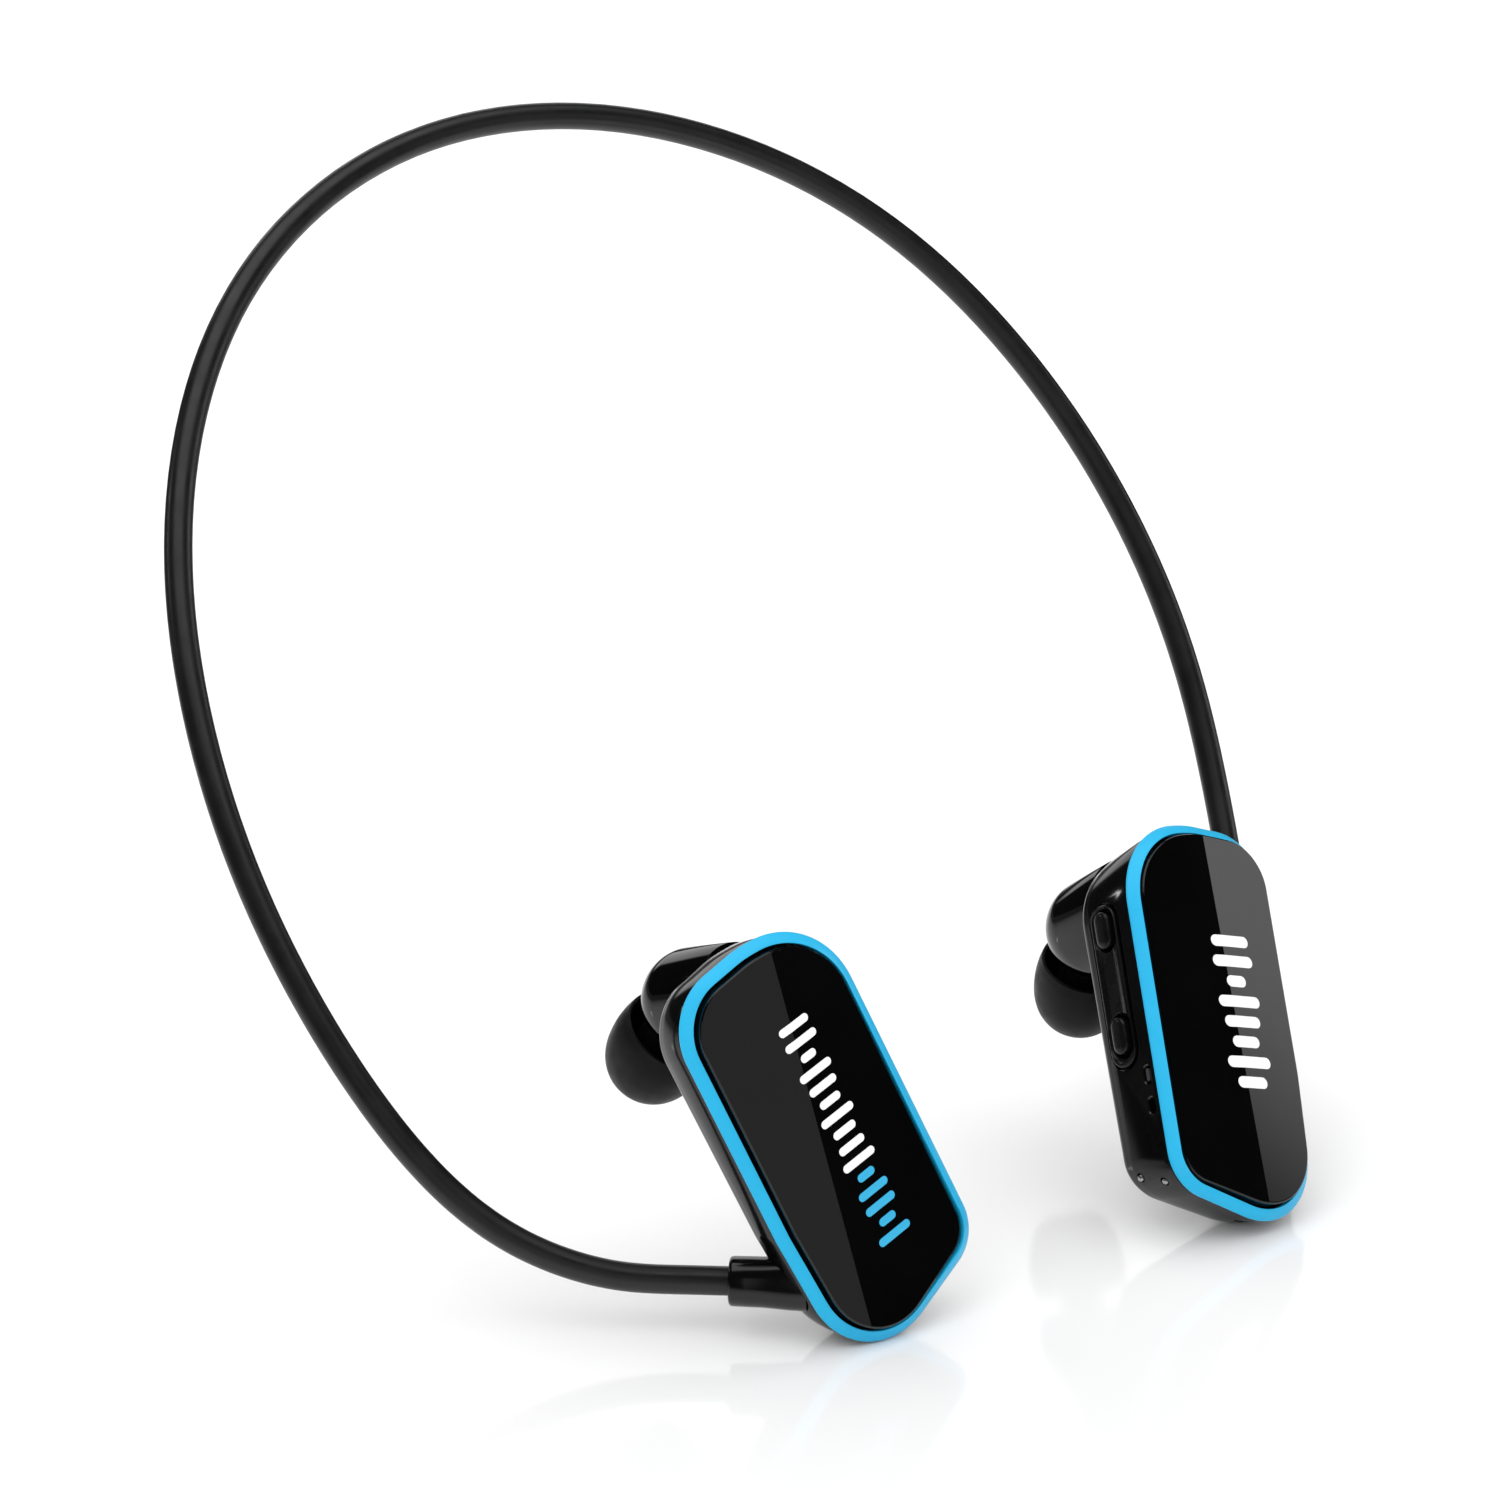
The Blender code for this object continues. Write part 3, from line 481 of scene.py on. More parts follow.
def vary_roughness(material, scale, low, high):
    """Roughness drifts between two values over the surface."""
    tree = material.node_tree
    noise = noise_node(material, scale)
    spread = map_range(tree, noise.outputs["Fac"], *NOISE_RANGE, low, high)
    tree.links.new(spread, tree.nodes["Principled BSDF"].inputs["Roughness"])


def add_grain(material, scale, depth, strength):
    """Fine bump; depth is in millimetres."""
    tree = material.node_tree
    noise = noise_node(material, scale, detail=4.0)
    bump = tree.nodes.new("ShaderNodeBump")
    bump.inputs["Distance"].default_value = depth * MM
    bump.inputs["Strength"].default_value = strength
    tree.links.new(noise.outputs["Fac"], bump.inputs["Height"])
    tree.links.new(bump.outputs["Normal"], tree.nodes["Principled BSDF"].inputs["Normal"])


def vary_colour(material, scale, first, second):
    """Colour drifts between two shades over the surface."""
    tree = material.node_tree
    noise = noise_node(material, scale)
    ramp = tree.nodes.new("ShaderNodeValToRGB")
    for stop, position, colour in zip(ramp.color_ramp.elements, RAMP_RANGE, (first, second)):
        stop.position = position
        stop.color = (*colour, 1.0)
    tree.links.new(noise.outputs["Fac"], ramp.inputs["Fac"])
    tree.links.new(ramp.outputs["Color"], tree.nodes["Principled BSDF"].inputs["Base Color"])


def gloss_black():
    material = new_material("gloss_black_plastic", (0.001, 0.001, 0.001), 0.07)
    vary_colour(material, 60.0, (0.0008, 0.0008, 0.0009), (0.0015, 0.0015, 0.0016))
    vary_roughness(material, 220.0, 0.04, 0.07)
    return material


def shell_black():
    material = new_material("moulded_black_plastic", (0.0025, 0.0025, 0.0025), 0.14)
    vary_colour(material, 70.0, (0.002, 0.002, 0.0021), (0.0035, 0.0035, 0.0037))
    vary_roughness(material, 260.0, 0.1, 0.15)
    add_grain(material, 2600.0, 0.01, 0.15)
    return material


def satin_black():
    material = new_material("satin_black_plastic", (0.003, 0.003, 0.0032), 0.3,
                            Specular_IOR_Level=0.35)
    vary_roughness(material, 400.0, 0.24, 0.34)
    add_grain(material, 5000.0, 0.02, 0.35)
    return material


def cyan_plastic():
    material = new_material("cyan_plastic", (0.014, 0.45, 0.77), 0.35, Specular_IOR_Level=0.3)
    vary_colour(material, 90.0, (0.013, 0.44, 0.76), (0.015, 0.46, 0.78))
    vary_roughness(material, 500.0, 0.3, 0.4)
    add_grain(material, 6000.0, 0.01, 0.25)
    return material


def silicone():
    material = new_material("black_silicone", (0.003, 0.003, 0.0033), 0.45, Sheen_Weight=0.015,
                            Sheen_Roughness=0.4, Specular_IOR_Level=0.17)
    vary_colour(material, 300.0, (0.0022, 0.0022, 0.0025), (0.0038, 0.0038, 0.0042))
    vary_roughness(material, 500.0, 0.36, 0.5)
    add_grain(material, 7000.0, 0.02, 0.4)
    return material


def band_rubber():
    material = new_material("band_rubber", (0.006, 0.006, 0.0065), 0.33)
    vary_colour(material, 160.0, (0.0045, 0.0045, 0.005), (0.0075, 0.0075, 0.008))
    vary_roughness(material, 350.0, 0.3, 0.42)
    add_grain(material, 8000.0, 0.02, 0.35)
    return material


def plain(name, colour, roughness, metallic=0.0, grain=3000.0, darkest=0.85):
    """A small part's material: nearly even colour, fine bump, drifting roughness."""
    material = new_material(name, colour, roughness, Metallic=metallic)
    dark = [darkest * channel for channel in colour]
    vary_colour(material, 900.0, dark, colour)
    vary_roughness(material, 700.0, 0.8 * roughness, min(1.2 * roughness, 1.0))
    add_grain(material, grain, 0.02, 0.3)
    return material


# ==== pod pieces ==================================================================
def make_shell(pod, material):
    """Moulded body: hollow, with a rolled rim and a filleted back edge."""
    rings = [
        pod_ring(pod, WALL_INNER + 1.6, lift=FLOOR_THICKNESS),
        pod_ring(pod, WALL_INNER + 0.4, lift=FLOOR_THICKNESS + 0.3),
        pod_ring(pod, WALL_INNER, lift=FLOOR_THICKNESS + 1.0),
        pod_ring(pod, WALL_INNER, height=-RIM_DEPTH),
        pod_ring(pod, RIM_INSET + RIM_ROLL, height=-RIM_DEPTH),
        pod_ring(pod, RIM_INSET + 0.05, height=-RIM_DEPTH - 0.05),
        pod_ring(pod, RIM_INSET, height=-RIM_DEPTH - RIM_ROLL),
        pod_ring(pod, RIM_INSET + 0.05, lift=BACK_FILLET + 1.0),
        pod_ring(pod, RIM_INSET + 0.12, lift=BACK_FILLET + 0.4),
    ]
    for k in range(FILLET_STEPS + 1):
        turn = pi / 2 * k / FILLET_STEPS
        inset = RIM_INSET + FILLET_INSET + BACK_FILLET * (1 - cos(turn))
        rings.append(pod_ring(pod, inset, lift=BACK_FILLET * (1 - sin(turn))))
    shell = finish_mesh(pod.name + "_pod_shell", skin(rings), pod.world, material, SHELL_SHARP)
    cutters = [vent_cutter(pod)]
    if pod.name == "right":
        cutters += control_cutters(pod) + contact_cutters(pod)
    cut(shell, cutters)
    return shell


def vent_cutter(pod):
    """A slot through the lower wall, between the lowest corner and the controls' corner."""
    low, high = Vector(LOWEST_CORNER[:2]), Vector(CONTROL_CORNER[:2])
    run = (high - low).normalized()
    out = Vector((run.y, -run.x))
    middle = low.lerp(high, VENT_PLACE)
    steps = 8
    rings = []
    for reach in (-CUTTER_REACH, CUTTER_REACH):
        ring = []
        for end, start in ((1, 0.0), (-1, pi)):
            for k in range(steps + 1):
                turn = start + pi * k / steps
                aside = end * VENT_HALF_LENGTH + VENT_RADIUS * sin(turn)
                point = middle + run * aside + out * reach
                ring.append((pod.side * point.x, point.y, VENT_RADIUS * cos(turn) - VENT_DEPTH))
        rings.append(ring)
    return finish_mesh("vent_cutter", skin(rings), pod.world, None)


def control_cutters(pod):
    """The strip's channel, the buttons' holes and the two slits below them."""
    channel = ((0.3, SIDE_WALL - 0.75), (0.32, SIDE_WALL - 0.2), (0.5, SIDE_WALL - 0.02),
               (0.9, SIDE_WALL + 1.5))
    through = ((0.3, SIDE_WALL - CUTTER_REACH), (0.3, SIDE_WALL + CUTTER_REACH))
    flared = ((0.0, SIDE_WALL - CUTTER_REACH), (0.0, SIDE_WALL - 0.15),
              (0.25, SIDE_WALL + 0.05), (0.6, SIDE_WALL + 1.0))
    return [
        oval_stack("channel_cutter", pod, STRIP_MIDDLE, STRIP_HALVES, channel),
        oval_stack("button_cutter", pod, UPPER_BUTTON, BUTTON_HALVES, through),
        oval_stack("button_cutter", pod, LOWER_BUTTON, BUTTON_HALVES, through),
        oval_stack("slit_cutter", pod, STATUS_SLIT, STATUS_SLIT_HALVES, flared),
        oval_stack("reset_cutter", pod, RESET_SLIT, RESET_SLIT_HALVES, flared),
    ]


def contact_places(pod):
    """Frames of the two charging contacts, pointing out of the corner below the controls."""
    across, along, radius = CONTROL_CORNER
    centre = Vector((across - radius, along + CONTACT_CENTRE * radius))
    places = []
    for turn, depth in CONTACT_SPOTS:
        out = Vector((cos(radians(turn)), sin(radians(turn))))
        surface = centre + out * (radius - RIM_INSET)
        origin = Vector((pod.side * surface.x, surface.y, -depth))
        places.append(pod.world @ axis_frame(origin, Vector((pod.side * out.x, out.y, 0.0))))
    return places


def contact_cutters(pod):
    profile = [(0.0, 2.0), (CONTACT_HOLE, 2.0), (CONTACT_HOLE, -CUTTER_REACH),
               (0.0, -CUTTER_REACH)]
    return [finish_mesh("contact_cutter", turned(profile, 32), place, None)
            for place in contact_places(pod)]


def make_ring(pod, material):
    """Sloped trim ring with rolled edges."""
    section = [
        (0.02, -RING_FOOT), (0.0, -RING_FOOT + 0.06), (0.0, -0.05), (0.05, 0.03),
        (RING_WIDTH - 0.16, RING_RISE - 0.06), (RING_WIDTH - 0.06, RING_RISE - 0.02),
        (RING_WIDTH, RING_RISE - 0.1), (RING_WIDTH, -RING_FOOT),
    ]
    rings = [pod_ring(pod, inset, height=height) for inset, height in section]
    return finish_mesh(pod.name + "_pod_ring", skin(rings, closed=True), pod.world, material)


def facet_planes(pod):
    """(point, normal) of the cover's two facets, which meet in the crease."""
    top, bottom = (Vector((pod.side * x, y, CREASE_HEIGHT)) for x, y in CREASES[pod.name])
    run = (top - bottom).normalized()
    planes = []
    for direction, slope in ((pod.side, OUTER_FACET_SLOPE), (-pod.side, INNER_FACET_SLOPE)):
        aside = Vector((run.y, -run.x, 0.0)) * direction
        planes.append((top, aside * sin(slope) + Vector((0, 0, 1)) * cos(slope)))
    return planes


def facet_height(planes, x, y):
    heights = []
    for point, normal in planes:
        heights.append(point.z - (normal.x * (x - point.x) + normal.y * (y - point.y)) / normal.z)
    return min(heights)


def make_cover(pod, material):
    """Glossy cover: a plate cut by the two facet planes, with a rolled edge."""
    bm = skin([pod_ring(pod, COVER_INSET, height=-COVER_FOOT),
               pod_ring(pod, COVER_INSET, height=CREASE_HEIGHT + 1.0)])
    for point, normal in facet_planes(pod):
        slice_off(bm, point, normal)
    cover = finish_mesh(pod.name + "_pod_cover", bm, pod.world, material, COVER_SHARP)
    soften(cover, COVER_BEVEL, 60.0)
    shade(cover, COVER_SHARP)
    return cover


# ==== ear piece ===================================================================
def housing_axis(pod):
    """Centre of the dome and the direction straight out of the pod's back."""
    depth = back_depth(HOUSING_ACROSS, HOUSING_ALONG)
    base = Vector((pod.side * HOUSING_ACROSS, HOUSING_ALONG, -depth))
    out = Vector((-pod.side * ACROSS_SLOPE, -BACK_SLOPE, -1.0)).normalized()
    return base + out * (HOUSING_GAP + HOUSING_HEIGHT), out


def ear_world(pod):
    centre, _ = housing_axis(pod)
    return pod.world @ axis_frame(centre, mirrored(pod, NOZZLE_DIRECTION))


def dome_solid(pod, radius, base, face):
    """A round-ended rod on the pod's back, cut flat across the nozzle's direction."""
    steps = 24
    profile = [(0.0, radius)]
    for k in range(1, steps + 1):
        turn = pi / 2 * k / steps
        profile.append((radius * sin(turn), radius * cos(turn)))
    profile += [(radius, base), (0.0, base)]
    bm = turned(profile, 96)
    centre, out = housing_axis(pod)
    bm.transform(axis_frame(centre, out))
    direction = mirrored(pod, NOZZLE_DIRECTION)
    slice_off(bm, centre + direction * face, direction)
    return bm


def make_dome(pod, material):
    """Glossy ear housing with a rounded front edge, hollow, and a bore for the nozzle."""
    solid = dome_solid(pod, HOUSING_RADIUS, -HOUSING_HEIGHT, FRONT_FACE)
    dome = finish_mesh(pod.name + "_pod_dome", solid, pod.world, material)
    soften(dome, FRONT_BEVEL, 40.0)
    room = dome_solid(pod, HOUSING_RADIUS - HOUSING_WALL, -HOUSING_HEIGHT - 2.0,
                      FRONT_FACE - HOUSING_WALL)
    hollow = finish_mesh("hollow", room, pod.world, None)
    rod = turned([(0.0, FRONT_FACE + 2.0), (NOZZLE_BORE, FRONT_FACE + 2.0),
                  (NOZZLE_BORE, FRONT_FACE - 2.0), (0.0, FRONT_FACE - 2.0)], 48)
    bore = finish_mesh("bore", rod, ear_world(pod), None)
    cut(dome, [hollow, bore])
    return dome


def make_nozzle(pod, material):
    """Sound tube with a flange on the housing and a ridge that holds the tip."""
    start = FRONT_FACE + HOUSING_GAP
    lip = NOZZLE_RADIUS + 0.9
    profile = ([(NOZZLE_RADIUS - 0.35, NOZZLE_END)]
               + arc((NOZZLE_RADIUS - 0.3, NOZZLE_END - 0.3), 0.3, 80, 0, 5)
               + [(NOZZLE_RADIUS, NOZZLE_END - 1.2), (NOZZLE_RADIUS - 0.15, NOZZLE_END - 1.5),
                  (NOZZLE_RADIUS - 0.15, start + 1.3)]
               + arc((NOZZLE_RADIUS + 0.35, start + 1.3), 0.5, 180, 270, 5)
               + arc((lip - 0.2, start + 0.6), 0.2, 90, 0, 4)
               + [(lip, start), (NOZZLE_BORE, start), (NOZZLE_BORE, NOZZLE_END)])
    return finish_mesh(pod.name + "_sound_nozzle", turned(profile, 64), ear_world(pod), material)


def make_tip(pod, material):
    """Silicone mushroom: crown, thin skirt that opens towards the housing, inner sleeve."""
    crown = smooth_profile([(2.3, 15.72), (3.0, 15.6), (4.1, 14.8), (5.1, 13.4), (5.75, 11.6),
                            (6.06, 9.4), (6.03, 7.4), (5.82, 5.95)])
    lip = arc((5.6, 5.93), 0.22, 0, -180, 6)
    inner = smooth_profile([(5.38, 6.3), (5.5, 7.6), (5.46, 9.4), (5.1, 11.1), (4.3, 12.3),
                            (3.6, 12.5), (3.3, 12.1)])
    profile = (crown + lip + inner + [(3.3, 5.6)] + arc((3.15, 5.55), 0.15, 0, -90, 3)
               + arc((2.6, 5.55), 0.15, -90, -180, 3)
               + [(2.45, 10.9), (1.8, 11.4), (1.8, 15.4)] + arc((2.05, 15.45), 0.25, 180, 100, 4))
    return finish_mesh(pod.name + "_silicone_tip", turned(profile, 96), ear_world(pod), material)


# ==== cable boss ==================================================================
def rounded_square(half, power, steps=48):
    """Superellipse ring: power 2 is a circle, larger powers are boxier."""
    ring = []
    for k in range(steps):
        turn = 2 * pi * k / steps
        c, s = cos(turn), sin(turn)
        reach = half / (abs(c) ** power + abs(s) ** power) ** (1 / power)
        ring.append(Vector((c * reach, s * reach, 0.0)))
    return ring


def make_boss(pod, material):
    """Outlet of the neckband: round at its mouth, boxier and wider where it joins the pod."""
    sections = [
        (SOCKET_RADIUS, -SOCKET_DEPTH, 2.0), (SOCKET_RADIUS, -0.25, 2.0),
        (SOCKET_RADIUS + 0.08, -0.06, 2.0), (SOCKET_RADIUS + 0.25, 0.0, 2.0),
        (BOSS_RADIUS - 0.45, 0.0, 2.2), (BOSS_RADIUS - 0.2, -0.07, 2.2),
        (BOSS_RADIUS - 0.05, -0.22, 2.2), (BOSS_RADIUS, -0.5, 2.3), (BOSS_RADIUS + 0.03, -2.0, 2.4),
        (BOSS_RADIUS + 0.05, -4.0, 2.5), (BOSS_RADIUS + 0.15, -5.6, 2.7),
        (BOSS_RADIUS + 0.25, -7.0, 2.8), (BOSS_RADIUS + 0.3, -BOSS_LENGTH + 0.9, 2.8),
    ]
    rings = []
    for half, height, power in sections:
        rings.append([point + Vector((0, 0, height)) for point in rounded_square(half, power)])
    boss_world = pod.world @ axis_frame(mirrored(pod, BOSS_END), mirrored(pod, BOSS_DIRECTION))
    return finish_mesh(pod.name + "_boss_shell", skin(rings), boss_world, material, SHELL_SHARP)


# ==== controls ====================================================================
def make_strip(pod, material):
    """Satin strip with a rolled edge, a shallow dish and a flared pocket round each button."""
    face = SIDE_WALL + STRIP_RISE
    levels = [(0.0, SIDE_WALL - 0.4), (0.0, face - STRIP_ROLL)]
    for k in range(1, STRIP_ROLL_STEPS + 1):
        turn = pi / 2 * k / STRIP_ROLL_STEPS
        levels.append((-STRIP_ROLL * (1 - cos(turn)), face - STRIP_ROLL * (1 - sin(turn))))
    levels += [(-0.55, face - 0.02), (-0.8, face - 0.12), (-1.0, face - 0.2)]
    strip = oval_stack("right_pod_strip", pod, STRIP_MIDDLE, STRIP_HALVES, levels, material)
    cutters = []
    for spot, room in ((UPPER_BUTTON, 0.3), (LOWER_BUTTON, 0.45)):
        flared = ((room, SIDE_WALL - CUTTER_REACH), (room, face - 0.45),
                  (room + 0.08, face - 0.3), (room + 0.45, face + 0.05),
                  (room + 0.9, face + 1.0))
        cutters.append(oval_stack("pocket_cutter", pod, spot, BUTTON_HALVES, flared))
    cut(strip, cutters)
    return strip


def make_button(pod, name, spot, material):
    """Domed oval cap, a flange behind the wall and a stem towards the switch."""
    flange = SIDE_WALL - FLANGE_DEPTH
    top = SIDE_WALL + BUTTON_RISE
    reach, drop = BUTTON_DOME
    half_length, _ = BUTTON_HALVES
    stem = ((0.0, flange - 1.2), (0.0, flange - FLANGE_THICKNESS))
    cap = [(FLANGE_REACH, flange - FLANGE_THICKNESS), (FLANGE_REACH, flange),
           (0.0, flange), (0.0, top - drop)]
    for k in range(1, BUTTON_DOME_STEPS):
        turn = pi / 2 * k / BUTTON_DOME_STEPS
        cap.append((-reach * (1 - cos(turn)), top - drop + drop * sin(turn)))
    rings = oval_rings(pod, spot, (STEM_RADIUS, STEM_RADIUS), stem)
    rings += oval_rings(pod, spot, BUTTON_HALVES, cap)
    rings.append(oval(pod, spot, half_length - 0.8, 0.3, top))
    return finish_mesh("right_pod_" + name + "_button", skin(rings), pod.world, material, 40.0)


def make_contacts(material):
    """Two round-edged pins, flush with the wall."""
    pieces = []
    profile = [(0.0, -0.1)] + arc((0.1, -0.45), 0.35, 85, 0, 5) + [(0.45, -2.2), (0.0, -2.2)]
    for number, place in enumerate(contact_places(right_pod), start=1):
        pieces.append(finish_mesh("right_contact_pin_%d" % number, turned(profile, 32), place,
                                  material))
    return pieces


# ==== printed bars ================================================================
def bar_share(number):
    """Height of one bar as a share of the tallest; the heights follow a wave."""
    step, start = BAR_WAVE
    return BAR_LEAST + (1 - BAR_LEAST) * abs(sin(step * number + start))


def make_bars(pod, bars, white, cyan):
    """Sound-level bars printed along the cover, folded over the crease where they cross it."""
    centre, first, pitch, half_width, count, tallest = bars
    planes = facet_planes(pod)
    (crease_point, outer_normal), (_, inner_normal) = planes
    up = Vector((0, 0, 1))
    crease_normal = (outer_normal - inner_normal).cross(up).cross(up)
    pieces = []
    for colour, material in (("white", white), ("cyan", cyan)):
        bm = bmesh.new()
        for k in range(count):
            is_cyan = pod.name == "left" and k >= count - CYAN_BARS
            if is_cyan != (colour == "cyan"):
                continue
            half = tallest * bar_share(k)
            outline = []
            for end, start in ((1, -pi / 2), (-1, pi / 2)):
                for j in range(BAR_END_STEPS + 1):
                    turn = start + pi * j / BAR_END_STEPS
                    x = centre + end * (half - half_width) + half_width * cos(turn)
                    y = first - pitch * k + half_width * sin(turn)
                    outline.append(bm.verts.new((pod.side * x, y, 0)))
            bm.faces.new(outline)
        if not bm.faces:
            bm.free()
            continue
        geometry = list(bm.verts) + list(bm.edges) + list(bm.faces)
        bmesh.ops.bisect_plane(bm, geom=geometry, plane_co=crease_point, plane_no=crease_normal,
                               dist=0.0001)
        bmesh.ops.recalc_face_normals(bm, faces=bm.faces)
        top = bmesh.ops.extrude_face_region(bm, geom=list(bm.faces))
        raised = {item for item in top["geom"] if isinstance(item, bmesh.types.BMVert)}
        for vert in bm.verts:
            lift = PRINT_THICKNESS if vert in raised else 0.0
            vert.co.z = facet_height(planes, vert.co.x, vert.co.y) + PRINT_CLEARANCE + lift
        pieces.append(finish_mesh("%s_print_%s" % (pod.name, colour), bm, pod.world, material, 30))
    return pieces


# ==== neckband ====================================================================
def smooth_route(points, samples=12, rounds=40):
    """A spline through the points, then evened out; the ends stay where they are."""
    ends = [2 * points[0] - points[1]] + points + [2 * points[-1] - points[-2]]
    dense = []
    for i in range(1, len(ends) - 2):
        for k in range(samples):
            dense.append(spline_point(*ends[i - 1:i + 3], k / samples))
    dense.append(points[-1])
    for _ in range(rounds):
        middle = [(a + 2 * b + c) / 4 for a, b, c in zip(dense, dense[1:], dense[2:])]
        dense = dense[:2] + middle[1:-1] + dense[-2:]
    return dense


def spaced(points, count):
    """The same line as evenly spaced points."""
    lengths = [0.0]
    for a, b in zip(points, points[1:]):
        lengths.append(lengths[-1] + (b - a).length)
    result = []
    k = 0
    for i in range(count):
        target = lengths[-1] * i / (count - 1)
        while k < len(points) - 2 and lengths[k + 1] < target:
            k += 1
        share = (target - lengths[k]) / (lengths[k + 1] - lengths[k])
        result.append(points[k].lerp(points[k + 1], share))
    return result


def band_route(pods):
    """The band's centre line, from inside the right socket to inside the left one."""
    ends = {}
    for pod in pods:
        end = pod.world @ mirrored(pod, BOSS_END)
        out = pod.world.to_3x3() @ mirrored(pod, BOSS_DIRECTION)
        ends[pod.name] = [end - out * (SOCKET_DEPTH - 0.3), end, end + out * BAND_LEAD_OUT]
    middle = [Vector(p) + ASSEMBLY_SHIFT for p in BAND_ROUTE]
    return smooth_route(ends["right"] + middle + ends["left"][::-1])


def band_normal(route):
    """Normal of the plane that the loop lies nearest to."""
    centre = sum(route, Vector()) / len(route)
    normal = Vector()
    for a, b in zip(route, route[1:]):
        normal += (a - centre).cross(b - centre)
    return normal.normalized()


def tube(name, line, normal, section, material):
    """Sweep a section of (radius, offset in the band's plane); two radii make a wall."""
    turns = [2 * pi * k / BAND_SIDES for k in range(BAND_SIDES)]
    loops = []
    for radius, offset in section:
        rings = []
        for i, point in enumerate(line):
            run = (line[min(i + 1, len(line) - 1)] - line[max(i - 1, 0)]).normalized()
            aside = run.cross(normal).normalized()
            up = aside.cross(run).normalized()
            centre = point + aside * offset
            rings.append([centre + (aside * cos(t) + up * sin(t)) * radius for t in turns])
        loops.append(rings)
    if len(loops) == 2:
        bm = skin(loops[0] + loops[1][::-1], closed=True)
    else:
        bm = skin(loops[0])
    return finish_mesh(name, bm, Matrix.Identity(4), material, 60.0)


def make_band(pods):
    """Sleeve, spring wire and cable, each in two halves that meet midway between the two flex
    steps.
    """
    route = band_route(pods)
    fine = spaced(route, BAND_STEPS * BAND_DETAIL + 1)
    normal = band_normal(spaced(route, BAND_STEPS + 1))
    middle = (RIGHT_FLEX_STEP + LEFT_FLEX_STEP) * BAND_DETAIL // 2
    halves = (
        ("right", fine[:middle + 1], RIGHT_FLEX_STEP, -1),
        ("left", fine[middle:], LEFT_FLEX_STEP, 1),
    )
    layers = (
        ("skin", "sleeve", ((BAND_RADIUS, 0.0), (BAND_BORE, 0.0)), RUBBER, "band_rubber"),
        ("spring", "wire", (SPRING_SECTION,), WIRE, "steel"),
        ("lead", "cable", (LEAD_SECTION,), LEAD, "cable_jacket"),
    )
    for side, line, flex, away in halves:
        for layer, node, section, material, slot in layers:
            piece = tube("%s_band_%s" % (side, layer), line, normal, section, material)
            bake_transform(piece)
            replaced = ["%s_band_%s" % (side, node)]
            if side == "right":
                replaced.append("rear_band_" + node)
            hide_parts(*replaced)


# ==== stage =======================================================================
def make_floor():
    """White floor, a little glossy near the middle, so the pods mirror faintly in it.

    What mirrors the floor itself sees it darken away from the middle.
    """
    material = new_material("white_floor", (FLOOR_WHITE, FLOOR_WHITE, FLOOR_WHITE), 0.1)
    tree = material.node_tree
    shader = tree.nodes["Principled BSDF"]
    path = tree.nodes.new("ShaderNodeLightPath")
    coordinates = tree.nodes.new("ShaderNodeTexCoord")
    distance = tree.nodes.new("ShaderNodeVectorMath")
    distance.operation = "LENGTH"
    tree.links.new(coordinates.outputs["Object"], distance.inputs[0])
    away = map_range(tree, distance.outputs["Value"], *FLOOR_FADE, 0.0, 1.0, smooth=True)
    near = math_node(tree, "SUBTRACT", 1.0, away)
    shine = math_node(tree, "MULTIPLY", near, FLOOR_SHINE)
    tree.links.new(shine, shader.inputs["Specular IOR Level"])
    dimmed = math_node(tree, "MULTIPLY", away, path.outputs["Is Glossy Ray"])
    mix = tree.nodes.new("ShaderNodeMix")
    mix.data_type = "RGBA"
    mix.inputs["A"].default_value = (FLOOR_WHITE, FLOOR_WHITE, FLOOR_WHITE, 1.0)
    mix.inputs["B"].default_value = (FLOOR_DIMMED, FLOOR_DIMMED, FLOOR_DIMMED, 1.0)
    tree.links.new(dimmed, mix.inputs["Factor"])
    tree.links.new(mix.outputs["Result"], shader.inputs["Base Color"])
    bm = bmesh.new()
    bmesh.ops.create_circle(bm, cap_ends=True, radius=FLOOR_RADIUS, segments=96)
    new_object("floor", bm, material)


def glow_material(name, strength, fade, slant):
    """Light that fades towards the card's edges and, with a slant, from one end to the other."""
    material = bpy.data.materials.new(name)
    material.use_nodes = True
    tree = material.node_tree
    tree.nodes.clear()
    coordinates = tree.nodes.new("ShaderNodeTexCoord")
    split = tree.nodes.new("ShaderNodeSeparateXYZ")
    tree.links.new(coordinates.outputs["Generated"], split.inputs["Vector"])
    factors = []
    for axis in ("X", "Y"):
        middle = math_node(tree, "SUBTRACT", split.outputs[axis], 0.5)
        away = math_node(tree, "ABSOLUTE", middle, 0.0)
        factors.append(map_range(tree, away, 0.5, 0.5 - fade, 0.0, 1.0, smooth=True))
    level = math_node(tree, "MULTIPLY", *factors)
    if slant:
        tilt = map_range(tree, split.outputs["Y"], 0.0, 1.0, 1.0 - slant, 1.0 + slant)
        level = math_node(tree, "MULTIPLY", level, tilt)
    emission = tree.nodes.new("ShaderNodeEmission")
    scaled = math_node(tree, "MULTIPLY", level, strength)
    tree.links.new(scaled, emission.inputs["Strength"])
    see_through = tree.nodes.new("ShaderNodeBsdfTransparent")
    both = tree.nodes.new("ShaderNodeAddShader")
    output = tree.nodes.new("ShaderNodeOutputMaterial")
    tree.links.new(emission.outputs["Emission"], both.inputs[0])
    tree.links.new(see_through.outputs["BSDF"], both.inputs[1])
    tree.links.new(both.outputs["Shader"], output.inputs["Surface"])
    return material


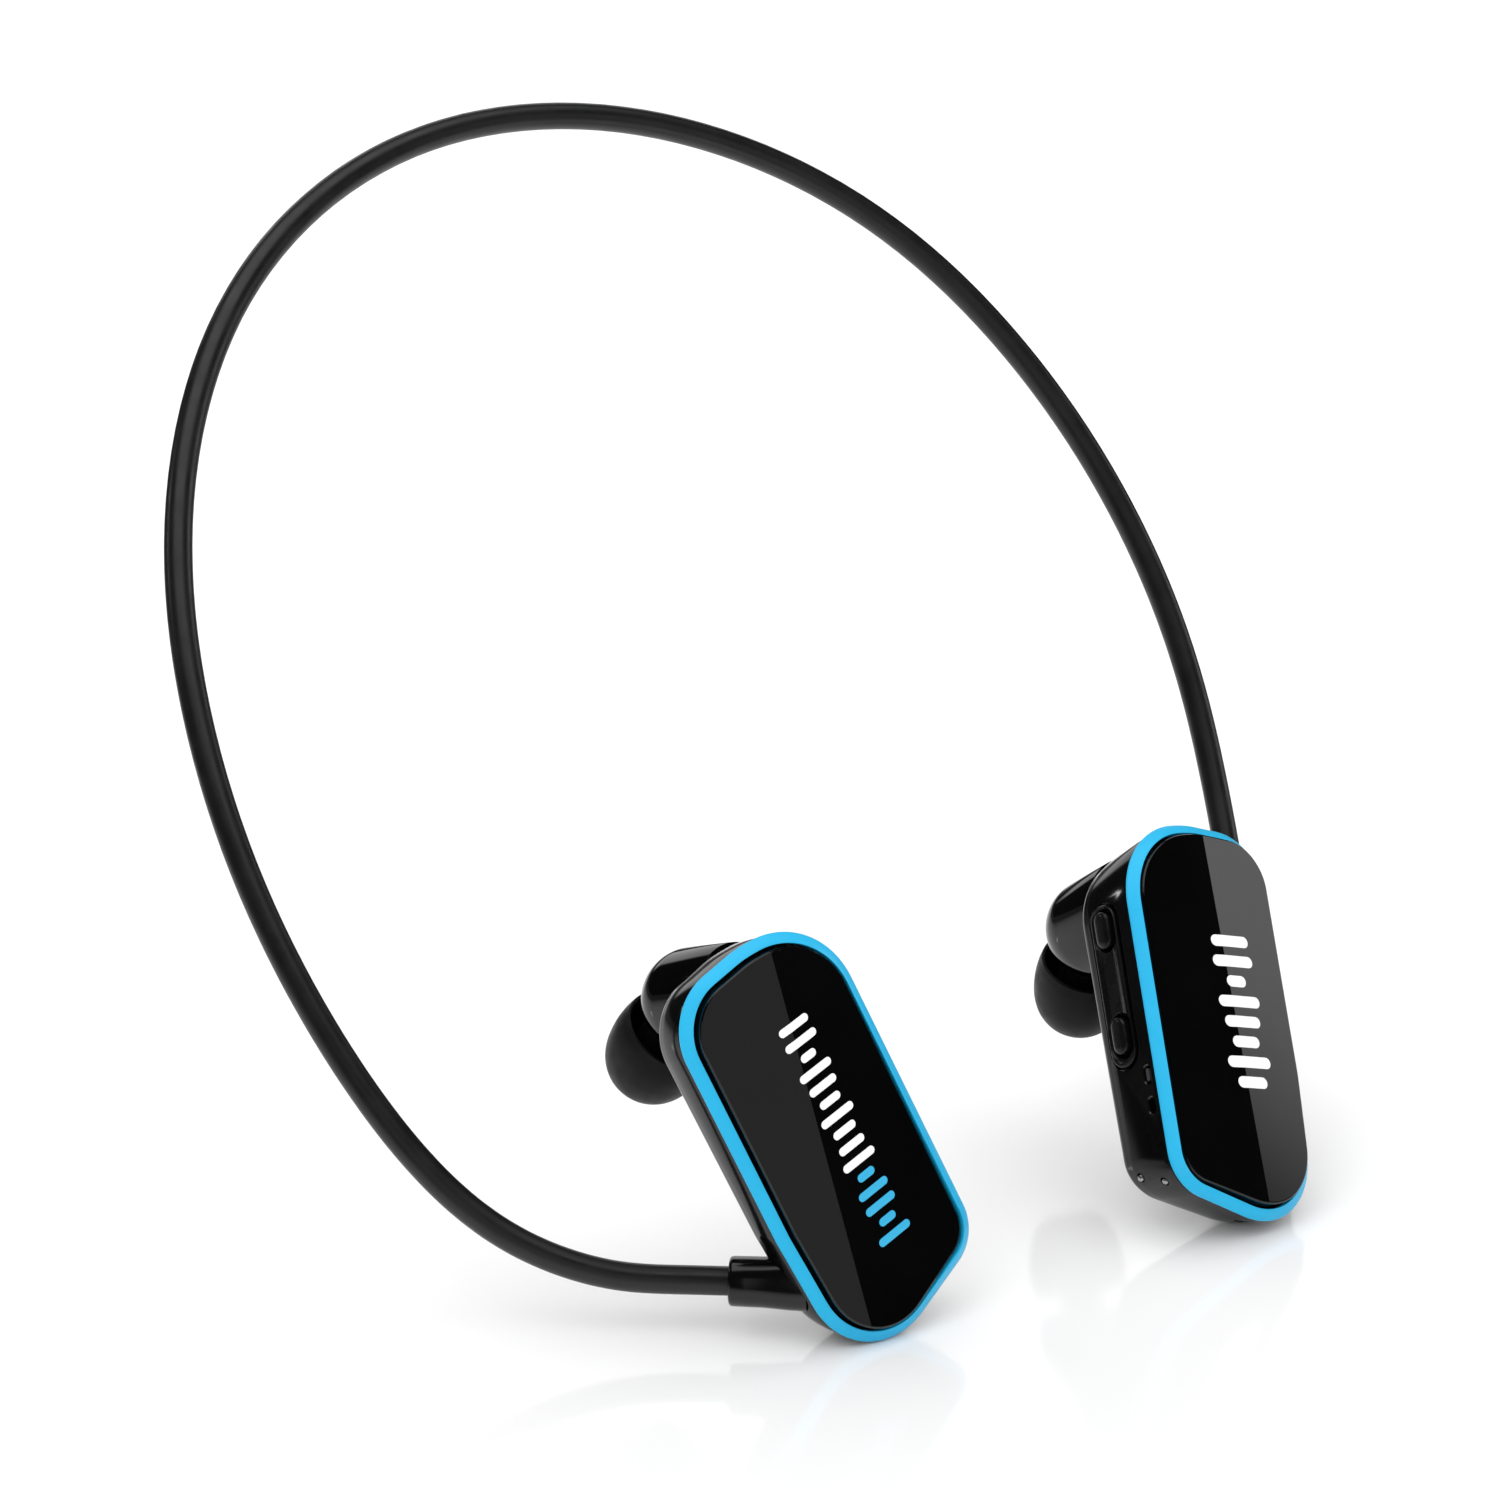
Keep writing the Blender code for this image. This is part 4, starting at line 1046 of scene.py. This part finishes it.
def make_card(name, azimuth, elevation, size, strength, fade, distance=2.5, slant=0.0):
    """A glowing card that only shows in reflections; azimuth 0 is the camera's side."""
    direction = Vector((sin(radians(azimuth)) * cos(radians(elevation)),
                        -cos(radians(azimuth)) * cos(radians(elevation)),
                        sin(radians(elevation))))
    bm = bmesh.new()
    bmesh.ops.create_grid(bm, x_segments=1, y_segments=1, size=0.5)
    card = new_object(name, bm, glow_material(name, strength, fade, slant))
    card.location = CARD_CENTRE + direction * distance
    card.rotation_euler = direction.to_track_quat("Z", "Y").to_euler()
    card.scale = (size[0], size[1], 1.0)
    card.visible_camera = False
    card.visible_diffuse = False
    card.visible_shadow = False


def make_world():
    """White to the camera and to matt surfaces, nearly black in reflections."""
    world = bpy.data.worlds.new("studio")
    bpy.context.scene.world = world
    world.use_nodes = True
    tree = world.node_tree
    path = tree.nodes.new("ShaderNodeLightPath")
    background = tree.nodes["Background"]
    level = map_range(tree, path.outputs["Is Glossy Ray"], 0.0, 1.0, WORLD_LIGHT, WORLD_REFLECTED)
    strength = math_node(tree, "MAXIMUM", level, path.outputs["Is Camera Ray"])
    tree.links.new(strength, background.inputs["Strength"])
    background.inputs["Color"].default_value = (1, 1, 1, 1)


def make_light(name, location, size, power):
    """An area light that doesn't show in reflections."""
    light = bpy.data.lights.new(name, "AREA")
    light.shape = "RECTANGLE"
    light.size = light.size_y = size
    light.energy = power
    lamp = bpy.data.objects.new(name, light)
    bpy.context.scene.collection.objects.link(lamp)
    lamp.location = location
    aim = LIGHT_TARGET - lamp.location
    lamp.rotation_euler = aim.to_track_quat("-Z", "Y").to_euler()
    lamp.visible_camera = False
    lamp.visible_glossy = False


def make_camera():
    camera = bpy.data.cameras.new("camera")
    camera.sensor_width = 36.0
    camera.lens = CAMERA_LENS
    camera.clip_start = 0.01
    camera.clip_end = 100.0
    obj = bpy.data.objects.new("camera", camera)
    bpy.context.scene.collection.objects.link(obj)
    obj.location = (Vector(CAMERA_PLACE) + ASSEMBLY_SHIFT) * MM
    obj.rotation_euler = (radians(90.0 - CAMERA_TILT), 0.0, 0.0)
    bpy.context.scene.camera = obj


# ==== build =======================================================================
make_camera()
make_world()
make_floor()
bpy.context.scene.view_settings.view_transform = "Standard"

make_card("front_card", 28.5, 10.0, (4.4, 2.2), 0.42, fade=0.04)
make_card("side_card", 112.0, 14.0, (1.3, 1.0), 1.55, fade=0.12, slant=0.35)
make_card("top_card", 0.0, 88.0, (2.4, 2.0), 1.4, fade=0.2, distance=1.6)
make_card("spark_card", -105.0, 21.0, (0.12, 0.2), 14.0, fade=0.3, distance=1.4)
make_card("back_card", -170.0, 19.0, (2.4, 1.5), 1.15, fade=0.12)
make_light("key", (-0.9, -1.2, 1.9), 1.2, 7.0)
make_light("fill", (1.4, -0.8, 1.4), 1.4, 3.0)

GLOSS = gloss_black()
SHELL = shell_black()
SATIN = satin_black()
CYAN = cyan_plastic()
SILICONE = silicone()
RUBBER = band_rubber()
WIRE = plain("spring_steel", (0.55, 0.55, 0.56), 0.3, 1.0)
LEAD = plain("lead_insulation", (0.25, 0.05, 0.04), 0.5)
WHITE_PRINT = plain("white_print", (0.93, 0.93, 0.93), 0.4, darkest=0.98)
CYAN_PRINT = plain("cyan_print", (0.022, 0.45, 0.76), 0.4, darkest=0.97)
NICKEL = plain("nickel_contact", (0.42, 0.42, 0.43), 0.3, 1.0)

left_pod = Pod("left", 1, pod_world("left"))
right_pod = Pod("right", -1, pod_world("right"))


def place(piece, body, slot, node):
    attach(piece, body)
    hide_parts(node)


for pod in (left_pod, right_pod):
    side = pod.name + "_"
    arm = side + "arm"
    place(make_shell(pod, SHELL), arm, "gloss_black", side + "body")
    place(make_ring(pod, CYAN), arm, "cyan_trim", side + "trim_ring")
    place(make_cover(pod, GLOSS), arm, "gloss_black", side + "cover")
    place(make_dome(pod, GLOSS), arm, "gloss_black", side + "ear_housing")
    place(make_nozzle(pod, SHELL), arm, "gloss_black", side + "nozzle")
    place(make_tip(pod, SILICONE), side + "tip", "silicone", side + "ear_tip")
    place(make_boss(pod, SHELL), arm, "gloss_black", side + "cable_boss")
for pod, bars in ((left_pod, LEFT_BARS), (right_pod, RIGHT_BARS)):
    for piece in make_bars(pod, bars, WHITE_PRINT, CYAN_PRINT):
        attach(piece, pod.name + "_arm")
place(make_strip(right_pod, SATIN), "right_arm", "satin_black", "right_control_strip")
for which, spot in (("upper", UPPER_BUTTON), ("lower", LOWER_BUTTON)):
    place(make_button(right_pod, which, spot, SATIN), which + "_button", "satin_black",
          "right_%s_button" % which)
for number, pin in enumerate(make_contacts(NICKEL), start=1):
    place(pin, "right_arm", "steel", "right_charging_contact_%d" % number)
make_band((left_pod, right_pod))

INNER_MATERIALS = (             # the first key found in a node's name counts
    ("screw", plain("screw_steel", (0.5, 0.5, 0.5), 0.3, 1.0)),
    ("board", plain("circuit_board", (0.01, 0.10, 0.04), 0.45)),
    ("chip", plain("chip_resin", (0.015, 0.015, 0.015), 0.5)),
    ("processor", plain("processor_resin", (0.02, 0.02, 0.02), 0.45)),
    ("switch", plain("switch_plastic", (0.4, 0.4, 0.38), 0.5)),
    ("shield", plain("shield_steel", (0.6, 0.6, 0.6), 0.25, 1.0)),
    ("basket", plain("basket_steel", (0.5, 0.5, 0.52), 0.35, 1.0)),
    ("magnet", plain("nickel_magnet", (0.4, 0.4, 0.4), 0.2, 1.0)),
    ("diaphragm", plain("amber_film", (0.35, 0.22, 0.10), 0.3)),
    ("mesh", plain("steel_gauze", (0.5, 0.5, 0.5), 0.35, 1.0, 9000.0)),
    ("gasket", plain("gasket_rubber", (0.03, 0.03, 0.03), 0.7)),
    ("battery_pad", plain("foam", (0.05, 0.05, 0.05), 0.95)),
    ("battery", plain("battery_foil", (0.6, 0.6, 0.62), 0.35, 1.0)),
    ("light", plain("smoked_light_guide", (0.05, 0.052, 0.055), 0.15)),
)
for node_name, node in NODES.items():
    if node.hide_render:
        continue
    for key, material in INNER_MATERIALS:
        if key in node_name:
            node.material_slots[0].material = material
            break
